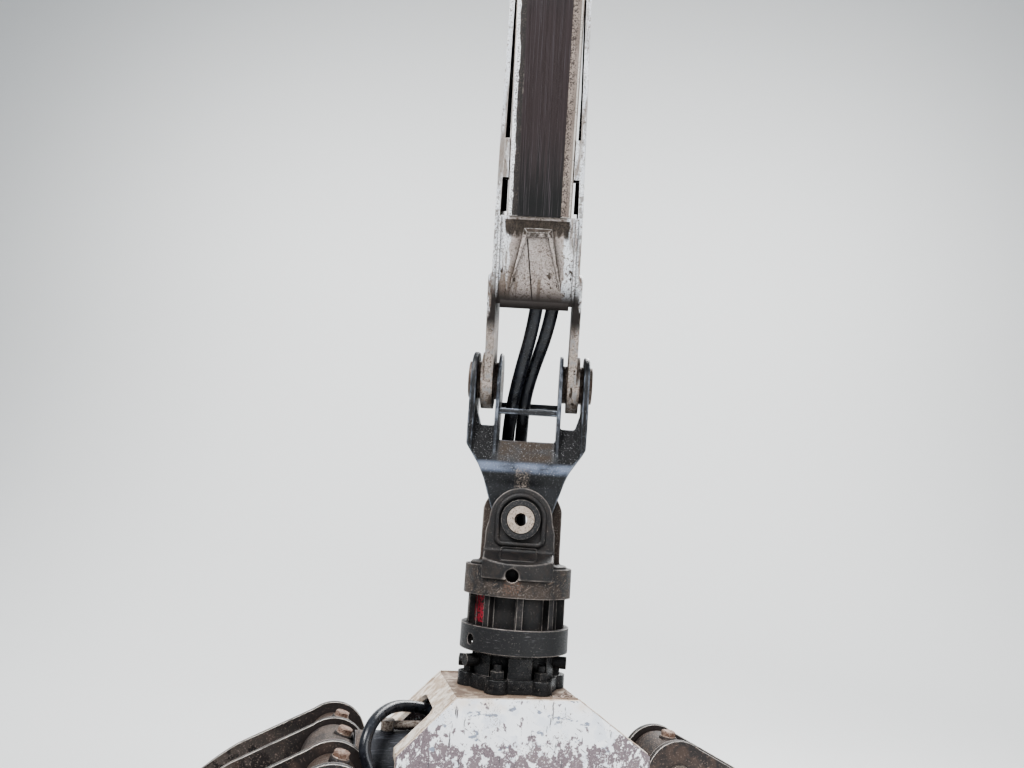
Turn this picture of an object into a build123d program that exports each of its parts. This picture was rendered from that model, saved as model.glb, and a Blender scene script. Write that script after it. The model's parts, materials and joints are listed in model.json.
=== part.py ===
from build123d import *
import math
import os

# Tip of a timber crane, hanging as it does at rest: boom end, link, rotator and grapple.
# Millimetres. Z is up, X to the right and Y away from the viewer who faces the crane.
# The origin is the middle of the bore through the upper end of the boom's extension beam.

os.makedirs("parts", exist_ok=True)

# Clearances
RUNNING = 0.05          # radial clearance of a pin that turns in its bore
GAP = 0.3               # space between pieces that slide or turn past each other

# Pin places
BOOM_LEAN = 24.0        # degrees, the beam's upper end towards the viewer
BEAM_LENGTH = 1300.0    # upper bore to tip pin, along the beam
BORE_FORWARD = 20.0     # the upper bore sits this far in front of the beam's middle plane
LINK_DROP = 298.0       # tip pin to rotator pin
ROTATOR_DROP = 332.0    # rotator pin to grapple flange
GRAPPLE_YAW = 14.8      # degrees the grapple is turned about the upright axis

# Beam
BEAM_WIDTH = 130.0
BEAM_DEPTH = 140.0
BEAM_WALL = 8.0
BEAM_CORNER = 12.0
BEAM_FOOT = 358.0       # lower end of the box above the tip pin
BEAM_HEAD = 75.0        # the box runs on above the upper bore
BORE_RADIUS = 20.0
BORE_BOSS = 30.0
BOSS_PROUD = 6.0
PAD_WIDTH = 90.0
PAD_LENGTH = 70.0
PAD_THICK = 12.0
PAD_BELOW_END = 55.0    # middle of a pad below the beam's upper end
PAD_SPACING = 440.0     # between the upper and the lower pad
PAD_CORNER = 8.0

# Tip cheeks
CHEEK_THICK = 10.0
CHEEK_DOUBLER = 7.5
DOUBLER_TOP = 244.0
CHEEK_RADIUS = 62.0
CHEEK_TOP = 840.0
CHEEK_DEPTH = 132.0
CHEEK_TOP_HALF = 50.0   # half depth of a cheek at its upper end
CHEEK_TAPER = 60.0      # height of the taper below the upper end
CHEEK_NECK = 140.0      # a cheek narrows from here to the pin
CHEEK_SHOULDER = 12.0   # and meets its round end here
BOSS_RADIUS = 62.0      # round boss on the outside of a cheek, about the pin
BOSS_THICK = 8.0
# height above the tip pin, outer half width over the two plates
CHEEK_BENDS = ((CHEEK_TOP, 0.5 * BEAM_WIDTH + CHEEK_THICK), (366.0, 88.5), (256.0, 90.0), (0.0, 90.0),
               (-CHEEK_RADIUS, 90.0))
SPACER_LOW = 432.0
SPACER_HIGH = 507.0
SPACER_DEPTH = 40.0
WEB_LOW = 180.0
WEB_THICK = 10.0
WEB_ROLL = 9.0
RIDGE_RISE = 12.0
RIDGE_TAPER = 30.0      # degrees
# half width of the raised ridge and height above the tip pin
RIDGE_HEAD = (29.0, 336.0)
RIDGE_FOOT = (55.0, 196.0)
# the ridge is full height down to here, then slopes back into the web
RIDGE_SHOULDER = 324.0
RIDGE_ROOT = 3.0

# Link
TIP_PIN_RADIUS = 25.0
EAR_THICK = 13.0
EAR_OUTER = 127.0       # half width over the link's outer ears
EAR_RADIUS = 62.0
EAR_ROOT = 26.0         # an ear thickens to this where it meets the saddle
EAR_ROOT_TOP = -60.0
GUIDE_OUTER = 70.0      # half width over the link's inner plates
GUIDE_THICK = 8.0
PIN_HEAD_RADIUS = 40.0
PIN_HEAD_THICK = 7.0
WASHER_RADIUS = 41.0
LINK_EYE_RADIUS = 58.0
LINK_EYE_DEPTH = 76.0
SADDLE_SIDE = -103.0
SADDLE_MIDDLE = -134.0
# half width and height of the link's outline below the ears, seen from the front
LINK_WAIST = ((EAR_OUTER, -100.0), (126.0, -147.0), (97.0, -190.0), (86.0, -214.0), (76.0, -245.0))
# half depth and height of the saddle, seen from the side: its thin rib, then its nose in front and behind
SADDLE_RIB = (30.0, -90.0)
NOSE_FRONT = ((55.0, -178.0), (55.0, -197.0), (0.5 * LINK_EYE_DEPTH, -226.0))
NOSE_BACK = ((55.0, -176.0), (55.0, -196.0), (0.5 * LINK_EYE_DEPTH, -203.0))
# half depth and height of the edges of the ears and inner plates
PLATE_EDGE = ((55.0, -125.0), (55.0, -178.0))
CROSSBAR_THICK = 12.0
CROSSBAR_HEIGHT = 11.0
# place to the back, place above the tip pin
CROSSBARS = ((-46.0, -73.0), (50.0, -45.0))

# Rotator
ROTATOR_PIN_RADIUS = 28.0
ROTATOR_PIN_BORE = 13.0
COLLAR_RADIUS = 40.0
COLLAR_THICK = 8.0
HEAD_EAR_THICK = 22.0
HEAD_EAR_RADIUS = 65.0
HEAD_FLOOR = -88.0
# half width and height of the front ear's sides
FRONT_EAR_SIDE = ((HEAD_EAR_RADIUS, 0.0), (71.0, -25.0), (73.0, HEAD_FLOOR))
BACK_EAR_RADIUS = 89.0  # the wider ear behind, clear of the link's nose
BACK_EAR_HALF = 86.0
HEAD_BOTTOM = -146.0
RING_RADIUS = 111.0
RING_WALL = 10.0
UPPER_RING = (-152.0, -94.0)
LOWER_RING = (-259.0, -211.0)
# Apron of the head, in front of the upper ring
APRON_HALF = 71.0
APRON_REACH = 119.0
APRON_LOW = -118.0
APRON_EDGE = -88.0      # top of its upright face
APRON_ROOT = -64.0      # its slope meets the front ear here
GREASE_HOLE = (-9.0, -109.5, 13.0)  # across, up from the rotator pin, radius
SIDE_HOLE = (-140.0, -238.0, 10.0)  # direction in degrees, up from the rotator pin, radius
STATOR_RADIUS = 84.0
STATOR_BOTTOM = -266.0
RIB_COUNT = 9
RIB_WIDTH = 13.0
RIB_TURN = 5.8
RIB_ROOT = 10.0         # a rib starts this far inside the stator's surface
RIB_END = 12.0          # it ends this far above the lower ring's foot
NECK_RADIUS = 84.0
BOLT_POCKET = 20.0      # radius of the neck's pocket round a bolt
FLANGE_THICK = 26.0
FLANGE_PCD = 173.0
FLANGE_WAIST = 92.0     # radius between the lobes
LOBE_RADIUS = 24.0
LOBE_COUNT = 6
LOBE_TURN = 58.0        # degrees from the grapple's own direction to a lobe
BOLT_HOLE_RADIUS = 10.5
PORT_RADIUS = 12.0
PORT_REACH = 110.0
# direction in degrees and height of a hose port, from the rotator pin
ROTOR_PORTS = ((-163.0, -280.0), (163.0, -290.0), (-19.0, -280.0), (15.0, -290.0))

# Grapple frame, measured from the middle of the top plate's upper face
TOP_DEPTH = 256.0       # over the front and back plates
TOP_THICK = 20.0
PLATE_THICK = 12.0
# side name, side, top plate's edge, end of the shoulder's slope, drop of that end
SHOULDERS = (("left", -1, 130.0, 233.0, 101.0), ("right", 1, 107.0, 253.0, 98.0))
PIVOT_X = 260.0
PIVOT_DROP = 345.0
PIVOT_BOSS = 62.0
PIVOT_RADIUS = 25.0
SIDE_DROP = 300.0
SHOULDER_THICK = 10.0
WINDOW_START = 48.0     # solid upper strip of a shoulder, along its slope
WINDOW_HALF = 71.0      # half width of the window that the cylinder passes
WINDOW_CORNER = 20.0
FLOOR_HALF = 170.0
FLOOR_DROP = 375.0
APRON_DROP = 405.0      # lower edge of the front and back plates

# Claws. Their outline is drawn as when closed, from the pivot, outwards and up.
CLAW_OPEN = 52.0        # degrees between the open and the closed claw
RIB_THICK = 12.0
PIN_PROUD = 4.0         # a pin stands this far out of its ribs
LEFT_RIBS = (80.0, 212.0)
RIGHT_RIB = 62.0
CYLINDER_X = 343.0      # cylinder pins at rest
CYLINDER_DROP = 156.0
PIN_BOSS = 70.0
LEVER_BOSS = 68.0
CYLINDER_PIN_RADIUS = 25.0
BUSHING_RADIUS = 49.0
PIVOT_BUSHING = 45.0
OUTER_CENTRE = (-164.0, -163.0)
OUTER_RADIUS = 472.0
INNER_CENTRE = (-196.0, -270.0)
INNER_RADIUS = 326.6
OUTER_START = 6.5       # degrees on the outer arc at the back's straight end
INNER_START = 41.2
TIP_OUTER = -103.0
TIP_INNER = -101.6
SKIN_THICK = 12.0
SKIN_START = -6.0
OUTER_SKIN_TIP = -102.6
INNER_SKIN_TIP = -101.3
BACK_SKIN_END = -60.0

# Cylinder
BARREL_RADIUS = 65.0
BARREL_BORE = 54.0
BARREL_END = 160.0      # front end of the barrel at rest
TUBE_START = 40.0       # barrel and rod start this far from their eyes' middles
EYE_RADIUS = 60.0
BARREL_EYE_WIDTH = 130.0
ROD_EYE_WIDTH = 100.0
ROD_RADIUS = 35.0
ROD_TAIL = -225.0
GLAND_RADIUS = 68.0
GLAND_LENGTH = 22.0
PLUG_INNER = -262.0
PIPE_RADIUS = 8.0
PIPE_RISE = 12.0
PIPE_BLOCK = 13.0
PIPE_BLOCK_TOP = 2.0    # a block stands this far over its pipe
PIPE_FROM_EYE = 20.0
PIPE_FROM_END = 30.0

# Hoses
BOOM_HOSE_RADIUS = 14.0
GRAPPLE_HOSE_RADIUS = 11.0
BULKHEAD_FRONT = 22.0   # front edge of the bulkhead behind the beam's middle plane
BULKHEAD_THICK = 10.0
COUPLING_RADIUS = 15.5
COUPLING_LENGTH = 54.0
COUPLING_ABOVE_BORE = 18.0
CLAMP_SPAN = (-205.0, -172.0)       # below the tip pin
CLAMP_REACH = (55.0, 98.0)
CLAMP_EDGES = (8.0, 7.0)            # material left outside the left and the right hose
CLAMP_PLAY = 2.0        # rubber-lined bore of a clamp or clip, wider than its hose
HEAD_PORT_TOP = -48.0
HEAD_PORT_WALL = 2.0
PORT_BLOCK = (-52.0, 34.0, 40.0)    # across, behind, side of the block under the top plate
PORT_BLOCK_DROP = 80.0
CLIP_PLACE = (-240.0, -101.0, -245.0)
CLIP_HEIGHT = 32.0
CLIP_WIDTH = 38.0
CLIP_SHIFT = -3.0       # its middle is this far beside the hose
CLIP_FRONT = 115.0
BARREL_PORT = (-122.0, -32.0, -237.0)

# Routes. The first points of a boom hose are across, behind the beam's middle plane and up the beam.
HOSE_IN_BEAM = {
    "left": ((2, 40, 1318), (2, 40, 1130), (5, 31, 860), (9, 12, 610), (9, -14, 430), (8, -32, 290),
             (8, -35, 195), (-4, -28, 110)),
    "right": ((34, 40, 1318), (34, 40, 1130), (37, 29, 860), (40, 10, 610), (41, -15, 430), (42, -31, 290),
              (43, -35, 195), (28, -28, 110)),
}
# The next points are across, back and up from the tip pin.
HOSE_TO_CLAMP = {
    "left": ((-20, -24, 34), (-32, -7, -24), (-39, 18, -68), (-43, 45, -106), (-45, 66, -138),
             (-46, 77, -168), (-46, 78, -197)),
    "right": ((6, -8, 34), (-9, 13, -24), (-13, 34, -68), (-14, 53, -106), (-16, 69, -138),
              (-17, 77, -168), (-17, 78, -197)),
}
HOSE_TO_HEAD = {
    "left": ((-46, 78, -201), (-46, 79, -230), (-43, 82, -266), (-39, 84, -308), (-39, 84, -346)),
    "right": ((-17, 78, -201), (-16, 79, -230), (-10, 82, -266), (-4, 84, -308), (-4, 84, -346)),
}
# Across, behind and up from the flange's middle, turned with the grapple
GRAPPLE_HOSE = ((-72, 34, -68), (-104, 34, -68), (-142, 33, -63), (-188, 26, -50), (-232, -2, -43),
                (-264, -44, -50), (-282, -80, -66), (-290, -98, -99), (-272, -104, -134), (-249, -103, -168),
                (-240, -101, -206), (-240, -101, -243))
BARREL_HOSE = ((-240, -101, -247), (-239, -101, -277), (-221, -101, -301), (-192, -100, -318),
               (-158, -92, -320), (-133, -70, -308), (-123, -45, -290), (-122, -32, -265),
               (-122, -32, -237))

SIDES = (("left", -1), ("right", 1))
FACES = (("front", -1), ("back", 1))

lean = math.radians(BOOM_LEAN)
yaw = math.radians(GRAPPLE_YAW)
UP = Vector(0, 0, 1)
UP_BEAM = Vector(0, -math.sin(lean), math.cos(lean))
BEAM_BACK = Vector(0, math.cos(lean), math.sin(lean))
ACROSS = Vector(math.cos(yaw), math.sin(yaw), 0)
BEHIND = Vector(-math.sin(yaw), math.cos(yaw), 0)
TIP = BEAM_BACK * BORE_FORWARD - UP_BEAM * BEAM_LENGTH
SWIVEL = TIP - UP * LINK_DROP
FLANGE = SWIVEL - UP * ROTATOR_DROP


def across_beam(height):
    """Plane square to the beam: local x to the right, local y to the back."""
    return Plane(origin=TIP + UP_BEAM * height, x_dir=(1, 0, 0), z_dir=UP_BEAM)


def beside_beam(x):
    """Side plane of the beam: local x to the back, local y up the beam."""
    return Plane(origin=TIP + Vector(x, 0, 0), x_dir=BEAM_BACK, z_dir=(1, 0, 0))


def facing_beam(back):
    """Front plane of the beam: local x to the right, local y up the beam, normal to the viewer."""
    return Plane(origin=TIP + BEAM_BACK * back, x_dir=(1, 0, 0), z_dir=-BEAM_BACK)


def facing(pin, back=0.0):
    """Upright plane: local x to the right, local y up, normal to the viewer."""
    return Plane(origin=pin + Vector(0, back, 0), x_dir=(1, 0, 0), z_dir=(0, -1, 0))


def beside(pin, x=0.0):
    """Upright side plane: local x to the back, local y up, normal to the right."""
    return Plane(origin=pin + Vector(x, 0, 0), x_dir=(0, 1, 0), z_dir=(1, 0, 0))


def level(pin, z=0.0):
    """Level plane: local x to the right, local y to the back, normal up."""
    return Plane(origin=pin + Vector(0, 0, z), x_dir=(1, 0, 0), z_dir=(0, 0, 1))


def grapple_place(x, behind, z):
    """A point in the turned grapple: across, behind and up from the flange's middle."""
    return FLANGE + ACROSS * x + BEHIND * behind + UP * z


def grapple_level(z):
    """Level plane turned with the grapple."""
    return Plane(origin=grapple_place(0, 0, z), x_dir=ACROSS, z_dir=UP)


def grapple_facing(behind, x=0.0, z=0.0):
    """Upright plane turned with the grapple: local x across, local y up, normal to the viewer."""
    return Plane(origin=grapple_place(x, behind, z), x_dir=ACROSS, z_dir=-BEHIND)


def grapple_beside(x, behind=0.0, z=0.0):
    """Upright side plane turned with the grapple: local x behind, local y up."""
    return Plane(origin=grapple_place(x, behind, z), x_dir=BEHIND, z_dir=ACROSS)


def claw_facing(side, behind):
    """Plane of an open claw, from its pivot: local x outwards and local y up when it is closed."""
    opened = math.radians(CLAW_OPEN)
    outwards = ACROSS * (side * math.cos(opened)) + UP * math.sin(opened)
    upwards = ACROSS * (-side * math.sin(opened)) + UP * math.cos(opened)
    pivot = grapple_place(side * PIVOT_X, behind, -PIVOT_DROP)
    return Plane(origin=pivot, x_dir=outwards, z_dir=outwards.cross(upwards))


def cheek_inner(height):
    """Half width between the two cheek plates at a height above the tip pin."""
    for upper, lower in zip(CHEEK_BENDS, CHEEK_BENDS[1:]):
        if lower[0] <= height <= upper[0]:
            share = (height - lower[0]) / (upper[0] - lower[0])
            return lower[1] + share * (upper[1] - lower[1]) - CHEEK_THICK
    return CHEEK_BENDS[-1][1] - CHEEK_THICK


def on_arc(centre, radius, angle):
    """Point at an angle in degrees on a circle."""
    turn = math.radians(angle)
    return (centre[0] + radius * math.cos(turn), centre[1] + radius * math.sin(turn))


def save(part, name):
    """Label a finished piece and write it."""
    part.label = name
    export_step(part, "parts/" + name + ".step")


# Boom end

with BuildPart() as beam:
    with BuildSketch(across_beam(BEAM_FOOT)):
        RectangleRounded(BEAM_WIDTH, BEAM_DEPTH, BEAM_CORNER)
    extrude(amount=BEAM_LENGTH + BEAM_HEAD - BEAM_FOOT)
    boss_half = 0.5 * BEAM_WIDTH + BOSS_PROUD
    with BuildSketch(beside_beam(-boss_half)):
        with Locations((-BORE_FORWARD, BEAM_LENGTH)):
            Circle(BORE_BOSS)
    extrude(amount=2 * boss_half)
    with BuildSketch(across_beam(BEAM_FOOT)):
        RectangleRounded(BEAM_WIDTH - 2 * BEAM_WALL, BEAM_DEPTH - 2 * BEAM_WALL, BEAM_CORNER - BEAM_WALL)
    extrude(amount=BEAM_LENGTH + BEAM_HEAD - BEAM_FOOT, mode=Mode.SUBTRACT)
    with BuildSketch(beside_beam(-boss_half)):
        with Locations((-BORE_FORWARD, BEAM_LENGTH)):
            Circle(BORE_BOSS)
    extrude(amount=2 * boss_half)
    with BuildSketch(beside_beam(-boss_half)):
        with Locations((-BORE_FORWARD, BEAM_LENGTH)):
            Circle(BORE_RADIUS)
    extrude(amount=2 * boss_half, mode=Mode.SUBTRACT)
save(beam.part, "beam")

with BuildPart() as slide_pads:
    upper_pad = BEAM_LENGTH + BEAM_HEAD - PAD_BELOW_END
    for name, face in FACES:
        outer = face * (0.5 * BEAM_DEPTH + 0.5 * PAD_THICK)
        with BuildSketch(facing_beam(outer)):
            with Locations((0, upper_pad), (0, upper_pad - PAD_SPACING)):
                RectangleRounded(PAD_WIDTH, PAD_LENGTH, PAD_CORNER)
        extrude(amount=0.5 * PAD_THICK, both=True)
save(slide_pads.part, "slide_pads")

for name, side in SIDES:
    with BuildPart() as cheek:
        with BuildSketch(facing_beam(0)):
            with BuildLine():
                outer_line = [(side * half, height) for height, half in CHEEK_BENDS]
                inner_line = [(side * (half - CHEEK_THICK), height) for height, half in CHEEK_BENDS]
                Polyline(*outer_line, *reversed(inner_line), close=True)
            make_face()
            doubler_outer = CHEEK_BENDS[-1][1] + CHEEK_DOUBLER
            with BuildLine():
                Polyline((side * (CHEEK_BENDS[-1][1] - CHEEK_THICK), -CHEEK_RADIUS),
                         (side * doubler_outer, -CHEEK_RADIUS),
                         (side * doubler_outer, DOUBLER_TOP - CHEEK_DOUBLER),
                         (side * (doubler_outer - CHEEK_DOUBLER), DOUBLER_TOP),
                         (side * (cheek_inner(DOUBLER_TOP) + 0.5 * CHEEK_THICK), DOUBLER_TOP),
                         (side * (CHEEK_BENDS[-1][1] - CHEEK_THICK), 0), close=True)
            make_face()
        extrude(amount=0.5 * CHEEK_DEPTH, both=True)
        with BuildSketch(beside_beam(0)):
            half = 0.5 * CHEEK_DEPTH
            with BuildLine():
                Polyline((-CHEEK_TOP_HALF, CHEEK_TOP), (CHEEK_TOP_HALF, CHEEK_TOP),
                         (half, CHEEK_TOP - CHEEK_TAPER), (half, CHEEK_NECK),
                         (CHEEK_RADIUS - 1, CHEEK_SHOULDER),
                         (-CHEEK_RADIUS + 1, CHEEK_SHOULDER), (-half, CHEEK_NECK),
                         (-half, CHEEK_TOP - CHEEK_TAPER), close=True)
            make_face()
            Circle(CHEEK_RADIUS)
        extrude(amount=2 * EAR_OUTER, both=True, mode=Mode.INTERSECT)
        with BuildSketch(beside_beam(side * doubler_outer)):
            Circle(BOSS_RADIUS)
        extrude(amount=side * BOSS_THICK)
        with BuildSketch(beside_beam(0)):
            Circle(TIP_PIN_RADIUS + RUNNING)
        extrude(amount=2 * EAR_OUTER, both=True, mode=Mode.SUBTRACT)
    save(cheek.part, "cheek_" + name)

with BuildPart() as cheek_spacers:
    for face_name, face in FACES:
        spacer_plane = facing_beam(face * (0.5 * CHEEK_DEPTH - 0.5 * SPACER_DEPTH))
        for name, side in SIDES:
            with BuildSketch(spacer_plane):
                with BuildLine():
                    Polyline((side * 0.5 * BEAM_WIDTH, SPACER_LOW),
                             (side * cheek_inner(SPACER_LOW), SPACER_LOW),
                             (side * cheek_inner(SPACER_HIGH), SPACER_HIGH),
                             (side * 0.5 * BEAM_WIDTH, SPACER_HIGH), close=True)
                make_face()
            extrude(amount=0.5 * SPACER_DEPTH, both=True)
save(cheek_spacers.part, "cheek_spacers")


def web_ridge(front):
    """Raised panel on the web's front face: a tapered trapezoid that slopes back into the web at its foot."""
    with BuildPart() as ridge:
        with BuildSketch(facing_beam(front + RIDGE_ROOT)):
            with BuildLine():
                Polyline((-RIDGE_HEAD[0], RIDGE_HEAD[1]), RIDGE_HEAD, RIDGE_FOOT,
                         (-RIDGE_FOOT[0], RIDGE_FOOT[1]), close=True)
            make_face()
        extrude(amount=RIDGE_RISE + RIDGE_ROOT, taper=RIDGE_TAPER)
        with BuildSketch(beside_beam(-RIDGE_FOOT[0])):
            with BuildLine():
                Polyline((front + RIDGE_ROOT, RIDGE_HEAD[1]), (front - RIDGE_RISE, RIDGE_HEAD[1]),
                         (front - RIDGE_RISE, RIDGE_SHOULDER), (front + RIDGE_ROOT, RIDGE_FOOT[1]),
                         close=True)
            make_face()
        extrude(amount=2 * RIDGE_FOOT[0], mode=Mode.INTERSECT)
    return ridge.part


for face_name, face in FACES:
    with BuildPart() as tip_web:
        web_middle = face * (0.5 * CHEEK_DEPTH - 0.5 * WEB_THICK)
        bends = [height for height, half in CHEEK_BENDS if WEB_LOW < height < BEAM_FOOT]
        heights = [BEAM_FOOT] + bends + [WEB_LOW]
        with BuildSketch(facing_beam(web_middle)):
            with BuildLine():
                right_edge = [(cheek_inner(height), height) for height in heights]
                left_edge = [(-cheek_inner(height), height) for height in reversed(heights)]
                Polyline(*right_edge, *left_edge, close=True)
            make_face()
        extrude(amount=0.5 * WEB_THICK, both=True)
        roll_half = cheek_inner(WEB_LOW) - WEB_ROLL
        with BuildSketch(beside_beam(-roll_half)):
            with Locations((web_middle, WEB_LOW)):
                Circle(WEB_ROLL)
        extrude(amount=2 * roll_half)
        if face < 0:
            add(web_ridge(web_middle - 0.5 * WEB_THICK))
    save(tip_web.part, "tip_web_" + face_name)

# Link

with BuildPart() as link_casting:
    with BuildSketch(facing(TIP)):
        # right half of the outline, from the saddle's middle over the ear's root to the eye
        right_half = [(GUIDE_OUTER, SADDLE_MIDDLE), (GUIDE_OUTER, SADDLE_SIDE),
                      (EAR_OUTER - EAR_ROOT, SADDLE_SIDE),
                      (EAR_OUTER - EAR_THICK, EAR_ROOT_TOP), (EAR_OUTER, EAR_ROOT_TOP), *LINK_WAIST,
                      (LINK_EYE_RADIUS, -LINK_DROP)]
        with BuildLine():
            Polyline(*right_half, *[(-x, z) for x, z in reversed(right_half)], close=True)
        make_face()
        with Locations((0, -LINK_DROP)):
            Circle(LINK_EYE_RADIUS)
    extrude(amount=EAR_RADIUS, both=True)
    with BuildSketch(beside(TIP)):
        rib_top = (SADDLE_RIB[0], EAR_ROOT_TOP)
        eye_low = (0.5 * LINK_EYE_DEPTH, -LINK_DROP - LINK_EYE_RADIUS)
        back_edge = [rib_top, SADDLE_RIB, *NOSE_BACK, eye_low]
        front_edge = [(-y, z) for y, z in (rib_top, SADDLE_RIB, *NOSE_FRONT, eye_low)]
        with BuildLine():
            Polyline(*back_edge, *reversed(front_edge), close=True)
        make_face()
    extrude(amount=EAR_OUTER, both=True, mode=Mode.INTERSECT)
    # inner face of a plate, its thickness
    plate_table = ((EAR_OUTER - EAR_THICK, EAR_THICK), (GUIDE_OUTER - GUIDE_THICK, GUIDE_THICK))
    for inner_face, thick in plate_table:
        for name, side in SIDES:
            with BuildSketch(beside(TIP, side * (inner_face + 0.5 * thick))):
                edge = [(EAR_RADIUS, 0), *PLATE_EDGE]
                with BuildLine():
                    Polyline(*edge, *[(-y, z) for y, z in reversed(edge)], close=True)
                make_face()
                Circle(EAR_RADIUS)
            extrude(amount=0.5 * thick, both=True)
    with BuildSketch(facing(TIP)):
        waist = [(EAR_OUTER, EAR_RADIUS), (EAR_OUTER, EAR_ROOT_TOP), *LINK_WAIST,
                 (LINK_EYE_RADIUS, -LINK_DROP)]
        with BuildLine():
            Polyline(*waist, *[(-x, z) for x, z in reversed(waist)], close=True)
        make_face()
        with Locations((0, -LINK_DROP)):
            Circle(LINK_EYE_RADIUS)
    extrude(amount=EAR_OUTER, both=True, mode=Mode.INTERSECT)
    with BuildSketch(beside(TIP)):
        Circle(TIP_PIN_RADIUS + RUNNING)
    extrude(amount=EAR_OUTER, both=True, mode=Mode.SUBTRACT)
    with BuildSketch(facing(SWIVEL)):
        Circle(ROTATOR_PIN_RADIUS + RUNNING)
    extrude(amount=LINK_EYE_DEPTH, both=True, mode=Mode.SUBTRACT)
save(link_casting.part, "link_casting")

with BuildPart() as hose_guide_bars:
    for back, drop in CROSSBARS:
        with BuildSketch(beside(TIP)):
            with Locations((back, drop)):
                Rectangle(CROSSBAR_THICK, CROSSBAR_HEIGHT)
        extrude(amount=GUIDE_OUTER - GUIDE_THICK, both=True)
save(hose_guide_bars.part, "hose_guide_bars")

for name, side in SIDES:
    with BuildPart() as tip_pin:
        with BuildSketch(beside(TIP, side * (GUIDE_OUTER - GUIDE_THICK))):
            Circle(TIP_PIN_RADIUS)
        extrude(amount=side * (EAR_OUTER - GUIDE_OUTER + GUIDE_THICK))
        with BuildSketch(beside(TIP, side * EAR_OUTER)):
            Circle(PIN_HEAD_RADIUS)
        extrude(amount=side * PIN_HEAD_THICK)
    save(tip_pin.part, "tip_pin_" + name)

with BuildPart() as tip_washers:
    # half widths between which a washer lies
    washer_table = ((CHEEK_BENDS[-1][1] + CHEEK_DOUBLER + BOSS_THICK + GAP, EAR_OUTER - EAR_THICK),
                    (GUIDE_OUTER, CHEEK_BENDS[-1][1] - CHEEK_THICK - GAP))
    for low, high in washer_table:
        for name, side in SIDES:
            with BuildSketch(beside(TIP, side * 0.5 * (low + high))):
                Circle(WASHER_RADIUS)
                Circle(TIP_PIN_RADIUS + RUNNING, mode=Mode.SUBTRACT)
            extrude(amount=0.5 * (high - low), both=True)
save(tip_washers.part, "tip_washers")

# Rotator

ear_inner = 0.5 * LINK_EYE_DEPTH + GAP
ear_outer = ear_inner + HEAD_EAR_THICK



def make_apron():
    """Sloped cover and upright face that the head carries in front of the upper ring."""
    ring_clear = UPPER_RING[1] + GAP
    with BuildPart() as apron:
        with BuildSketch(beside(SWIVEL)):
            with BuildLine():
                Polyline((-ear_inner, APRON_ROOT), (-ear_outer, APRON_ROOT), (-APRON_REACH, APRON_EDGE),
                         (-APRON_REACH, APRON_LOW), (-ear_inner, APRON_LOW), close=True)
            make_face()
        extrude(amount=APRON_HALF, both=True)
        with BuildSketch(level(SWIVEL, APRON_LOW)):
            Circle(APRON_REACH)
        extrude(amount=APRON_ROOT - APRON_LOW, mode=Mode.INTERSECT)
        with BuildSketch(level(SWIVEL, APRON_LOW)):
            Circle(RING_RADIUS + GAP)
        extrude(amount=ring_clear - APRON_LOW, mode=Mode.SUBTRACT)
    return apron.part


with BuildPart() as rotator_head:
    with BuildSketch(level(SWIVEL, HEAD_FLOOR)):
        Circle(RING_RADIUS - RING_WALL - GAP)
    extrude(amount=HEAD_BOTTOM - HEAD_FLOOR)
    with BuildSketch(facing(SWIVEL, -ear_inner - 0.5 * HEAD_EAR_THICK)):
        with BuildLine():
            Polyline(*FRONT_EAR_SIDE, *[(-x, z) for x, z in reversed(FRONT_EAR_SIDE)], close=True)
        make_face()
        Circle(HEAD_EAR_RADIUS)
    extrude(amount=0.5 * HEAD_EAR_THICK, both=True)
    with BuildSketch(facing(SWIVEL, ear_inner + 0.5 * HEAD_EAR_THICK)):
        with Locations((0, 0.5 * HEAD_FLOOR)):
            Rectangle(2 * BACK_EAR_HALF, -HEAD_FLOOR)
        Circle(BACK_EAR_RADIUS)
        with Locations((0, 0.5 * (HEAD_FLOOR + BACK_EAR_RADIUS))):
            Rectangle(2 * BACK_EAR_HALF, BACK_EAR_RADIUS - HEAD_FLOOR, mode=Mode.INTERSECT)
    extrude(amount=0.5 * HEAD_EAR_THICK, both=True)
    add(make_apron())
    with BuildSketch(facing(SWIVEL)):
        Circle(ROTATOR_PIN_RADIUS + RUNNING)
    extrude(amount=ear_outer, both=True, mode=Mode.SUBTRACT)
    with BuildSketch(facing(SWIVEL, -RING_RADIUS)):
        with Locations((GREASE_HOLE[0], GREASE_HOLE[1])):
            Circle(GREASE_HOLE[2])
    extrude(amount=APRON_REACH - RING_RADIUS + RING_WALL, both=True, mode=Mode.SUBTRACT)
save(rotator_head.part, "rotator_head")

with BuildPart() as rotator_pin:
    with BuildSketch(facing(SWIVEL)):
        Circle(ROTATOR_PIN_RADIUS)
    extrude(amount=ear_outer, both=True)
    for face_name, face in FACES:
        with BuildSketch(facing(SWIVEL, face * (ear_outer + 0.5 * COLLAR_THICK))):
            Circle(COLLAR_RADIUS)
        extrude(amount=0.5 * COLLAR_THICK, both=True)
    with BuildSketch(facing(SWIVEL)):
        Circle(ROTATOR_PIN_BORE)
    extrude(amount=RING_RADIUS, both=True, mode=Mode.SUBTRACT)
save(rotator_pin.part, "rotator_pin")

side_turn = math.radians(SIDE_HOLE[0])
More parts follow.
